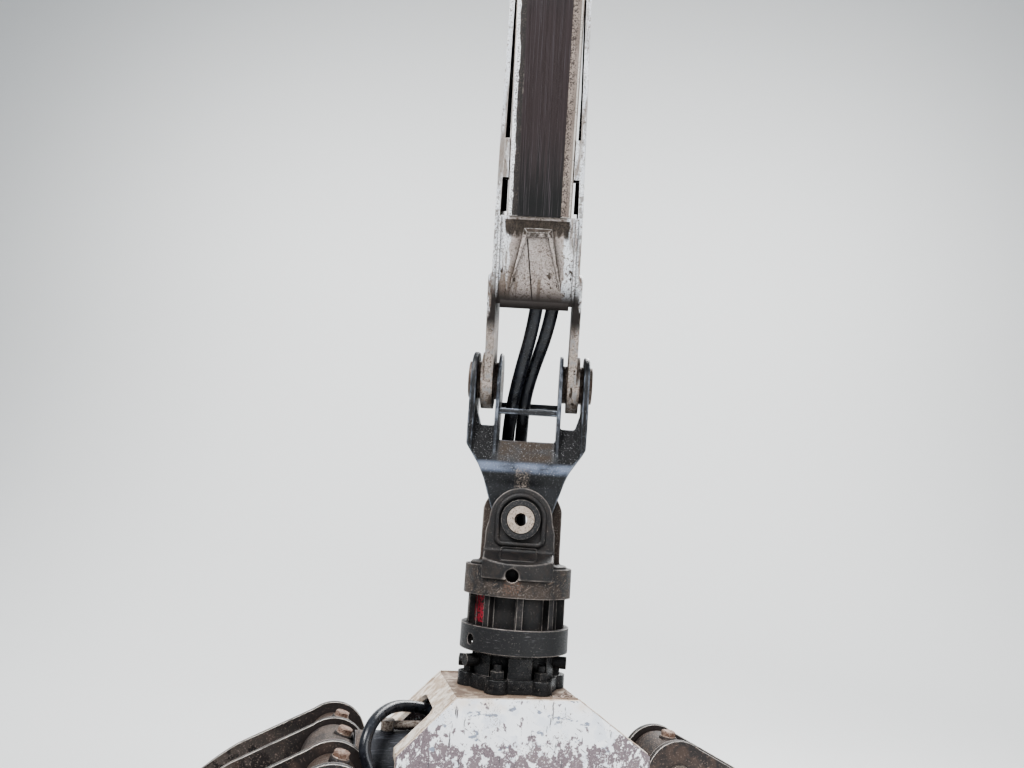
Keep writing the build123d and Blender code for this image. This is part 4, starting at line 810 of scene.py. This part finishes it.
# %% Cylinder, rod and packed dirt
def cylinder_finish():
    skin = Finish("cylinder_black_paint_finish", on_grapple((0, 0, PIN_HEIGHT))[0], GRAPPLE_WAYS)
    grain = skin.patches(1.5, 0.5, 0.15)
    speckle = skin.patches(3, 0.6)
    scratches = skin.patches(3, 0.6, 0.03, (0.06, 1.0, 1.0))
    blotch = skin.patches(40, 0.5, 0.1)
    rounded, worn = skin.edges(2, blotch)
    radius = skin.from_axis(skin.back, skin.up)
    # the hard pipe lies beyond the barrel's radius, and the eye at the barrel's left end
    pipe = skin.laid(coat("#7f776f", 0.6), (skin.patches(4, 0.52, 0.05), "#4e4036", 0.75))
    eye = skin.laid(coat("#2c2624", 0.6), (blotch, "#4c423c", 0.7), (speckle, "#8a7c72", 0.7))
    surface = skin.laid(
        coat("#2c2e33", 0.4),
        (blotch, "#3f4147", 0.45),
        (grain, "#25262a", 0.5),
        (scratches, "#74767e", 0.4, 0.4),
        (skin.band(radius, 69.5, 95, 0.8), pipe),
        (skin.band(skin.across, -FAR, -283, 2), eye),
        # corners and gaps: grime and painted shade
        (skin.grime_and_shade(12), "#110f10", 0.8),
        (worn, "#a0a2a8", 0.4, 0.5))
    return skin.close(surface, rounded, skin.total(grain, speckle, scratches), 0.15)


def dirt_finish():
    skin = Finish("packed_dirt_finish", TIP, BEAM_WAYS)
    crumbs = skin.patches(4, 0.5, 0.08)
    spots = skin.patches(4, 0.5, 0.02, (1.0, 1.0, 0.6))
    # the upper part of the right slot has light spots
    right_side = skin.band(skin.across, 20, 200, 2)
    surface = skin.laid(
        coat("#17130f", 0.9),
        (crumbs, "#2c231b", 0.95),
        ((spots, right_side, skin.band(skin.up, 470, FAR, 5)), "#c9c5c0", 0.7))
    return skin.close(surface, height=crumbs, depth=0.8)


def chrome_finish():
    skin = Finish("rod_chrome_finish", on_grapple((PIN_SIDE, 0, PIN_HEIGHT))[0], GRAPPLE_WAYS)
    drawn = skin.patches(1.5, 0.5, 0.15, (0.02, 1.0, 1.0))
    film = skin.patches(30, 0.52, 0.1)
    speckle = skin.patches(3, 0.58)
    rounded = skin.edges(1, film)[0]
    radius = skin.from_axis(skin.across, skin.up)
    eye = skin.laid(coat("#221e1d", 0.55), (film, "#3c322d", 0.65), (speckle, "#75675e", 0.7))
    surface = skin.laid(
        coat("#b9bcc2", 0.14, 1.0),
        (film, "#a3a19c", 0.3, 0.9),
        (drawn, "#c6c8cc", 0.2, 1.0),
        (skin.band(radius, -FAR, 62, 1), eye))
    return skin.close(surface, rounded, drawn, 0.02)


# %% [markdown]
# The finishes are made once and kept by name, so that a piece only has to name the one it wears.

# %% All finishes
finishes = {
    "beam_paint": beam_finish(),
    "slide_pad_nylon": nylon_finish(),
    "boom_tip_paint": tip_finish(),
    "link_black_paint": link_finish("link_black_paint_finish"),
    "link_cast": link_finish("link_cast_finish", True),
    "pin_steel": steel_finish("pin_steel_finish", "#7c736c", "#54463e", "#2f2621"),
    "cross_pin": steel_finish("cross_pin_finish", "#b6ab9f", "#9c8f83", "#5b4c42", 0.4, cross_pin=True),
    "bolt_steel": steel_finish("bolt_steel_finish", "#a29084", "#6e5548", "#3d2a22", 0.5),
    "rotator_black_paint": rotator_finish("rotator_black_paint_finish"),
    "rotator_cast": rotator_finish("rotator_cast_finish", True),
    "fitting_steel": steel_finish("fitting_steel_finish", "#1c1c1e", "#141415", "#3f3b38", 0.2),
    "hose_rubber": rubber_finish(),
    "rusty_plate": cream_finish("rusty_plate_finish", "#a39383", "#b8a998", "#77665a", 0.5),
    "frame_white_paint": white_finish(),
    "frame_beige_paint": cream_finish("frame_beige_paint_finish", "#ddd1c4", "#eae2d8", "#b8a592", 0.54),
    "claw_black_paint": claw_finish(),
    "cylinder_black_paint": cylinder_finish(),
    "rod_chrome": chrome_finish(),
    "packed_dirt": dirt_finish(),
}
print("finishes:", len(finishes))

# %% [markdown]
# Each construction piece takes the finish of its material slot. The rotator's cross pin is the one
# exception: its end is lighter than the other pins, so it has a finish of its own.

# %% Finishes on the construction pieces
for row in frame["record"]["subparts"]:
    piece = frame["nodes"][row["node"]]
    piece.data.materials.clear()
    kind = "cross_pin" if row["node"] == "rotator_pin" else row["material_slot"]
    piece.data.materials.append(finishes[kind])
for tube in hose_pieces.values():
    tube.data.materials.append(finishes["hose_rubber"])

# %% [markdown]
# Castings have no sharp edges. The link and the rotator's head are cast in sand, so their corners are round
# and their webs run into each other with fillets. A copy of each solid is rebuilt on an even grid of small
# cells and relaxed, which rounds edges and corners by a few millimetres and leaves the flat faces where they
# are.

# %% Castings with rounded edges
def fitted(piece, kind, body):
    """A new piece gets its finish and the body that it rides on."""
    piece.data.materials.append(finishes[kind])
    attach(piece, body)


def cast_copy(node_name, cell, rounds):
    """A copy of a construction piece with merged corners, rebuilt in cells and relaxed a number of times."""
    source = frame["nodes"][node_name]
    mesh = source.data.copy()
    work = bmesh.new()
    work.from_mesh(mesh)
    bmesh.ops.remove_doubles(work, verts=work.verts, dist=0.02 * MM)
    work.to_mesh(mesh)
    work.free()
    piece = bpy.data.objects.new(node_name + "_cast", mesh)
    bpy.context.scene.collection.objects.link(piece)
    grid = piece.modifiers.new("cells", "REMESH")
    grid.mode = "VOXEL"
    grid.voxel_size = cell
    relax = piece.modifiers.new("relax", "SMOOTH")
    relax.factor = 0.5
    relax.iterations = rounds
    bpy.context.view_layer.update()
    rebuilt = bpy.data.meshes.new_from_object(piece.evaluated_get(bpy.context.evaluated_depsgraph_get()))
    piece.modifiers.clear()
    piece.data = rebuilt
    rebuilt.shade_smooth()
    rebuilt.materials.clear()
    bpy.data.meshes.remove(mesh)
    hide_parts(node_name)
    return piece


# node, body it rides on, finish, slot, cell in mm, relaxing rounds
CASTINGS = (("link_casting", "link", "link_cast", "link_black_paint", 2.6, 5),
            ("rotator_head", "rotator", "rotator_cast", "rotator_black_paint", 2.4, 3))
for node_name, body, kind, slot, cell, rounds in CASTINGS:
    piece = cast_copy(node_name, cell * MM, rounds)
    fitted(piece, kind, body)
    print(piece.name, len(piece.data.polygons), "faces")

# %% [markdown]
# The front ear of the rotator carries a raised rim around the cross pin, shaped like a D that lies on its
# flat side, and under it a shallow pressed panel. Both come from the casting's pattern. They are drawn as
# rounded cords of metal that follow their outline on the ear's face.

# %% Rim and panel on the rotator's front ear
def on_head(points):
    """Points given across, back and up from the rotator pin, in mm, as points of the frame."""
    return SWIVEL + np.atleast_2d(np.asarray(points, float)) * MM


# mm from the rotator pin: the flat ear's face, and the apron's upper edge, height and reach under it
EAR_FRONT, APRON_TOP, APRON_HEIGHT, APRON_REACH = -60.3, -64.0, 24.0, 58.7


def ear_face(up):
    """Where the head's front is, in mm back from the pin: the flat ear's face, then the apron's slope."""
    return EAR_FRONT - np.clip((APRON_TOP - up) / APRON_HEIGHT, 0.0, 1.0) * APRON_REACH


def outline_bead(name, corners, half_width, height, steps, kind):
    """A half-sunk bead along a closed outline of (across, up) corners on the head's front, in mm. It is the
    unit circle at each step, times half_width, and pressed towards the face to the given height."""
    corners = np.array(corners + [corners[0]], float)
    lengths = np.r_[0.0, np.cumsum(np.linalg.norm(np.diff(corners, axis=0), axis=1))]
    s = np.linspace(0.0, lengths[-1], steps, endpoint=False)
    across, up = np.interp(s, lengths, corners[:, 0]), np.interp(s, lengths, corners[:, 1])
    line = on_head(np.c_[across, ear_face(up), up])
    tangent = np.roll(line, -1, axis=0) - np.roll(line, 1, axis=0)
    tangent /= np.linalg.norm(tangent, axis=1)[:, None]
    out = np.tile((0.0, -1.0, 0.0), (steps, 1))
    side = np.cross(tangent, out)
    side /= np.linalg.norm(side, axis=1)[:, None]
    ring = unit_circles(side, np.cross(side, tangent), 10)
    outwards = np.sum(ring * out[:, None], axis=2, keepdims=True)
    flat = ring - (1.0 - height / half_width) * out[:, None] * outwards
    piece = grid_mesh(name, line[:, None] + half_width * MM * flat, close_along=True)
    fitted(piece, kind, "rotator")


# the rim goes round the cross pin in an arc of 48 mm and is closed by a flat foot
turn = np.radians(np.linspace(-8, 188, 40))
rim_corners = [(48 * math.cos(a), 1 + 48 * math.sin(a)) for a in turn]
rim_corners += [(-47, -43), (-39, -50), (39, -50), (47, -43)]
outline_bead("ear_rim", rim_corners, 5.5, 4.5, 150, "rotator_cast")
panel_corners = [(-36, -60), (-32, -57), (32, -57), (36, -60), (36, -78), (32, -82), (-32, -82), (-36, -78)]
outline_bead("ear_panel", panel_corners, 2.4, 1.6, 90, "rotator_black_paint")
print("rim corners:", len(rim_corners), "panel corners:", len(panel_corners))

# %% [markdown]
# Bolts hold the rotor's flange to the grapple: a threaded stud stands in each lobe with a nut on it. The
# claws' pins are kept by radial lock bolts, whose rusty heads stand on the bushings. A nut is six-sided with
# its corners turned off, and the stud is a round bar with fine grooves.

# %% Nuts, studs and bolt heads
def frame_of(axis):
    """An axis at length 1, and two directions square to it."""
    axis = np.asarray(axis, float) / np.linalg.norm(axis)
    side = np.cross(axis, (0.0, 1.0, 0.0) if abs(axis[1]) < 0.9 else (1.0, 0.0, 0.0))
    side /= np.linalg.norm(side)
    return axis, side, np.cross(axis, side)


def turned(name, centre, axis, profile, around, body, kind):
    """A profile of rows of height and radius in mm, six-sided or round, turned about an axis. The radius of a
    six-sided row at angle a is r / cos(a - nearest flat's middle), held to 1.12 r, so its corners are cut."""
    axis, side, top = frame_of(axis)
    height, radius, six_sided = np.array(profile, float).T[:, :, None]
    angle = np.linspace(0, 2 * math.pi, around, endpoint=False)
    sixth = math.pi / 3
    flats = np.minimum(1 / np.cos((angle + 0.5 * sixth) % sixth - 0.5 * sixth), 1.12)
    size = MM * radius * np.where(six_sided > 0, flats, 1.0)
    ring = side * np.cos(angle)[:, None] + top * np.sin(angle)[:, None]
    piece = grid_mesh(name, centre + axis * MM * height[:, :, None] + size[:, :, None] * ring)
    if six_sided.any():
        piece.data.shade_flat()
    fitted(piece, kind, body)


# rows of height and radius in mm, and 1 where the row is six-sided
NUT = [(0, 13, 0), (0, 13, 1), (14, 13, 1), (15.5, 11.5, 0)]
STUD = [(h, 7.8 if i % 2 else 8.2, 0) for i, h in enumerate(np.arange(14, 26, 0.9))] + [(26.5, 7.0, 0)]
STUD_CIRCLE, FLANGE_TOP = 86.5, 26.0
for i in range(6):
    a = math.radians(58.0 + 60.0 * i)
    foot = on_grapple((STUD_CIRCLE * math.cos(a), STUD_CIRCLE * math.sin(a), FLANGE_TOP))[0]
    turned("flange_nut_%d" % i, foot, UP, NUT, 24, "grapple", "fitting_steel")
    turned("flange_stud_%d" % i, foot, UP, STUD, 16, "grapple", "fitting_steel")

BOSS = [(-12, 18.5, 0), (-4, 18.5, 0), (-1.5, 18.5, 0), (0, 17, 0), (0, 10, 0)]
HEAD = [(-0.5, 15.6, 0), (1.0, 15.6, 0), (1.2, 13.8, 1), (9.5, 13.8, 1), (11.3, 12.2, 0), (10.8, 10.5, 0)]
# name, middle of the pin across and behind, boss top's radius in mm, angle from the right in degrees, body
LOCK_BOLTS = (("lock_bolt_back", -PIN_SIDE, 150, 56, 75, "claw_left"),
              ("lock_bolt_front", -PIN_SIDE, -128, 56, 76, "claw_left"),
              ("lock_bolt_eye", -PIN_SIDE, 6, 62, 72, "cylinder_barrel"),
              ("lock_bolt_rod", PIN_SIDE, -2, 62, 86, "cylinder_rod"))
for name, x, behind, radius, angle, body in LOCK_BOLTS:
    outwards = ACROSS * math.cos(math.radians(angle)) + UP * math.sin(math.radians(angle))
    seat = on_grapple((x, behind, PIN_HEIGHT))[0] + outwards * radius * MM
    turned(name + "_boss", seat, outwards, BOSS, 36, body, "claw_black_paint")
    turned(name, seat, outwards, HEAD, 36, body, "bolt_steel")
print("nuts, studs and bolt heads made")

# %% [markdown]
# A hose ends in a crimped steel sleeve with a hexagon for the spanner before it. Such sleeves stand on the
# fittings of the rotator's head, on the grapple's port block and on the cylinder.

# %% Crimped hose ends
def hose_end(name, at, way, radius, body):
    """A crimped sleeve over a hose end at a point, with its hexagon, along a direction."""
    profile = [(0, radius * 0.9, 1), (9, radius * 0.9, 1), (9.5, radius * 0.75, 0), (12, radius * 0.75, 0),
               (12, radius + 2.6, 0), (15, radius + 3.4, 0), (34, radius + 3.4, 0), (37, radius + 2.2, 0),
               (38, radius + 0.2, 0)]
    turned(name, at, way, profile, 32, body, "fitting_steel")


# name, hose, its end's point, the point that it looks at, hose radius in mm, body
HOSE_ENDS = (("head_fitting_left", "link_hose_left", -1, -3, 14, "rotator"),
             ("head_fitting_right", "link_hose_right", -1, -3, 14, "rotator"),
             ("port_block_fitting", "grapple_hose", 0, 3, 11, "grapple"),
             ("barrel_fitting", "barrel_hose", -1, -3, 11, "cylinder_barrel"))
for name, hose, end, inside, radius, body in HOSE_ENDS:
    line = hose_lines[hose]
    hose_end(name, line[end], line[inside] - line[end], radius, body)
print("crimped hose ends:", len(HOSE_ENDS))

# %% [markdown]
# The sheets are welded along their seams. A weld is laid as overlapping drops, so its surface rises and
# falls every few millimetres. Each bead is a round bar whose radius follows that rhythm, half sunk into the
# corner.

# %% Weld beads
WELD_PITCH = 5.0  # mm from one drop to the next


def weld(name, start, end, radius_mm, body, kind):
    """A bead from start to end. Its radius is r (0.86 + 0.14 |sin(pi s / pitch)|) with a slow waver."""
    length = np.linalg.norm(end - start)
    steps = max(12, int(length / (1.25 * MM)))
    s = np.linspace(0.0, 1.0, steps)
    line = start + (end - start) * s[:, None]
    travel = s * length / MM
    waver = 1.0 + 0.08 * np.sin(travel / 17.0) + 0.05 * np.sin(travel / 7.3 + 1.0)
    radii = radius_mm * MM * (0.86 + 0.14 * np.abs(np.sin(math.pi * travel / WELD_PITCH))) * waver
    radii[0] = radii[-1] = 0.3 * MM
    fitted(round_tube(name, line, radii, 8), kind, body)


PLATE_EDGE = 116  # mm from the frame's middle to the seams in front and behind
welds = []
for word, side, top_edge, slope_end, drop in (("left", -1, 130, 233, 101), ("right", 1, 107, 253, 98)):
    for face_word, face in (("front", -1), ("back", 1)):
        ends = on_grapple(((side * top_edge, face * PLATE_EDGE, -0.5),
                           (side * slope_end, face * PLATE_EDGE, -drop - 0.5)))
        welds.append(("shoulder_weld_%s_%s" % (word, face_word), *ends, 2.6, "grapple", "frame_beige_paint"))
for face_word, face in (("front", -1), ("back", 1)):
    ends = on_grapple(((-130, face * PLATE_EDGE, 0), (107, face * PLATE_EDGE, 0)))
    welds.append(("top_weld_" + face_word, *ends, 3.0, "grapple", "rusty_plate"))
for word, side in (("left", -1), ("right", 1)):
    ends = on_beam(((side * 77.5, -66.5, 356), (side * 79.0, -66.5, 186)))
    welds.append(("web_weld_" + word, *ends, 3.0, "boom", "boom_tip_paint"))
    ends = from_tip(((side * 62, -52, -134), (side * 62, 0, -134)))
    welds.append(("guide_weld_" + word, *ends, 3.0, "link", "link_black_paint"))
for row in welds:
    weld(*row)
print("weld beads:", len(welds))

# %% [markdown]
# Dirt has packed into the slots beside the beam, so no light comes through them. Rust flakes lie on the
# grapple's top plate, around the flange. A flake is a thin crooked chip with four to six corners, and its
# corners, size and tilt come from a fixed random series.

# %% Packed dirt and loose flakes
# mm: a slot's two parts up the beam, its inner side, its outer side at two heights, and the dirt's thickness
SLOT_PARTS = (("low", 366.0, 430.0), ("high", 509.0, 820.0))
SLOT_INNER, SLOT_OUTER_HEIGHTS, SLOT_OUTER, DIRT_THICK = 70.6, (366.0, 840.0), (80.5, 74.0), 8.0
for word, side in (("left", -1), ("right", 1)):
    for part, low_end, high_end in SLOT_PARTS:
        up_beam = np.linspace(low_end, high_end, 40)
        slot_outer = np.interp(up_beam, SLOT_OUTER_HEIGHTS, SLOT_OUTER)
        depth = 6.0 + 2.0 * np.sin(up_beam / 13.0) + 1.5 * np.sin(up_beam / 5.0)
        ring = []
        for share_x, share_y in ((0, 0), (1, 0), (1, 1), (0, 1)):
            x = side * (SLOT_INNER + share_x * (slot_outer - SLOT_INNER))
            ring.append(np.c_[x, depth + share_y * DIRT_THICK, up_beam])
        rows = np.stack(ring if side > 0 else ring[::-1], axis=1)
        strip = grid_mesh("slot_dirt_%s_%s" % (word, part), on_beam(rows.reshape(-1, 3)).reshape(rows.shape))
        fitted(strip, "packed_dirt", "boom")


def flakes(name, centres, size_mm, seed):
    """Thin crooked chips lying about the given centres. Corner k of a chip is the centre + s(k) (u cos a(k) +
    0.7 v sin a(k)), lifted by its tilt, and the corners below it are drawn in a little."""
    rng = np.random.default_rng(seed)
    normal, side, top = frame_of(UP)
    half_thick = 0.6 * MM
    points, faces = [], []
    for centre in centres:
        corners = rng.integers(4, 7)
        angle = np.sort(rng.uniform(0, 2 * math.pi, corners))
        size = size_mm * MM * rng.uniform(0.4, 1.0, corners) * rng.uniform(0.5, 1.2)
        tilt = rng.normal(0, 0.25, 2)
        flat = size[:, None] * (side * np.cos(angle)[:, None] + top * np.sin(angle)[:, None] * 0.7)
        lift = normal * ((flat @ side) * tilt[0] + (flat @ top) * tilt[1] + 0.5 * size_mm * MM * 0.3)[:, None]
        first = len(points)
        points += list(centre + flat + lift + normal * half_thick)
        points += list(centre + 0.9 * flat + lift - normal * half_thick)
        upper = list(range(first, first + corners))
        lower = list(range(first + corners, first + 2 * corners))
        faces += [upper, lower[::-1]]
        faces += list(zip(lower, lower[1:] + lower[:1], upper[1:] + upper[:1], upper))
    fitted(piece_from(name, np.array(points), faces), "bolt_steel", "grapple")


rng = np.random.default_rng(7)
spread = np.c_[rng.normal(78, 26, 200), rng.normal(-92, 16, 200), np.full(200, 0.8)]
# only those stay that lie outside the flange's rim, between the plate's edges and left of its right end
reach = np.hypot(spread[:, 0], spread[:, 1])
spread = spread[(reach > 114) & (np.abs(spread[:, 1]) < 118) & (spread[:, 0] < 102)]
flakes("plate_flakes", on_grapple(spread), 5.5, 3)
print("flakes on the top plate:", len(spread))

# %% [markdown]
# The raised panel of the boom tip was welded on along its sides and its top and painted over, so its outline
# is a thick soft bead that dies away towards its foot.

# %% Bead round the raised panel
PANEL = np.array([(-52.0, -66.5, 214.0), (-24.0, -77.5, 322.0), (24.0, -77.5, 322.0), (52.0, -66.5, 214.0)])
# side of the panel, its two corners, and the bead's radius in mm at each of them
for word, (start, end), size in (("left", PANEL[:2], (1.2, 4.2)), ("top", PANEL[1:3], (4.4, 4.4)),
                                 ("right", PANEL[2:], (4.6, 1.2))):
    share = np.linspace(0.0, 1.0, 70)
    wobble = np.c_[0.5 * np.sin(share * 23), 0 * share, 0.5 * np.cos(share * 17)]
    line = on_beam(start + (end - start) * share[:, None] + wobble)
    radii = MM * np.interp(share, (0, 1), size) * (1 + 0.06 * np.sin(share * 90))
    fitted(round_tube("panel_bead_" + word, line, radii, 10), "boom_tip_paint", "boom")
print("panel beads made")

# %% [markdown]
# The crane is shown as a product would be in a studio. A pale floor runs back and curves up into a wall, so
# that no edge shows behind the crane. The main light is a wide panel high on the left, as the bright sky is
# in the forest clearing, and two weaker ones lift the right side and the outline. Two more light the wall.
# The pale surroundings fill the shadows and give the black paint something to reflect.

# %% Floor and light
FLOOR_FRONT, FLOOR_LEVEL, BEND_RADIUS, WALL_PLACE, WALL_TOP, HALF_WIDTH = -14.0, -2.9, 5.0, 10.0, 22.0, 26.0
bend = np.radians(np.linspace(0, 90, 24))
run_y = np.r_[FLOOR_FRONT, WALL_PLACE - BEND_RADIUS * (1 - np.sin(bend)), WALL_PLACE]
run_z = np.r_[FLOOR_LEVEL, FLOOR_LEVEL + BEND_RADIUS * (1 - np.cos(bend)), WALL_TOP]
run = np.stack([np.c_[np.full(len(run_y), x), run_y, run_z] for x in (HALF_WIDTH, -HALF_WIDTH)], axis=1)
floor = grid_mesh("floor", run, close_around=False)
floor.data.materials.append(Finish("studio_floor_finish", FLANGE, LEVEL_WAYS).close(coat("#e6e7e6", 0.9)))

world = bpy.data.worlds.new("studio")
world.use_nodes = True
world.node_tree.nodes["Background"].inputs["Color"].default_value = linear("#e6ecf4")
world.node_tree.nodes["Background"].inputs["Strength"].default_value = 0.42
bpy.context.scene.world = world
bpy.context.scene.view_settings.look = "AgX - Medium High Contrast"

# name, where it stands, what it looks at, side in metres, watts
LIGHTS = (("key", (-1.7, -2.0, 1.7), (0.0, 0.4, -1.35), 1.5, 300.0),
          ("fill", (2.6, -1.8, -0.4), (0.0, 0.4, -1.5), 1.6, 70.0),
          ("rim", (1.2, 3.4, 1.4), (0.0, 0.4, -1.2), 2.0, 200.0),
          ("wall_left", (-4.0, 3.5, 3.0), (-3.0, 10.0, 1.0), 4.0, 420.0),
          ("wall_right", (4.0, 3.5, 3.0), (3.0, 10.0, 1.0), 4.0, 420.0))
for name, stand, target, size, watts in LIGHTS:
    lamp = bpy.data.objects.new(name, bpy.data.lights.new(name, "AREA"))
    lamp.data.size = size
    lamp.data.energy = watts
    look = Vector(target) - Vector(stand)
    lamp.matrix_world = Matrix.Translation(stand) @ look.to_track_quat("-Z", "Y").to_matrix().to_4x4()
    bpy.context.scene.collection.objects.link(lamp)
print("lights:", len(LIGHTS))
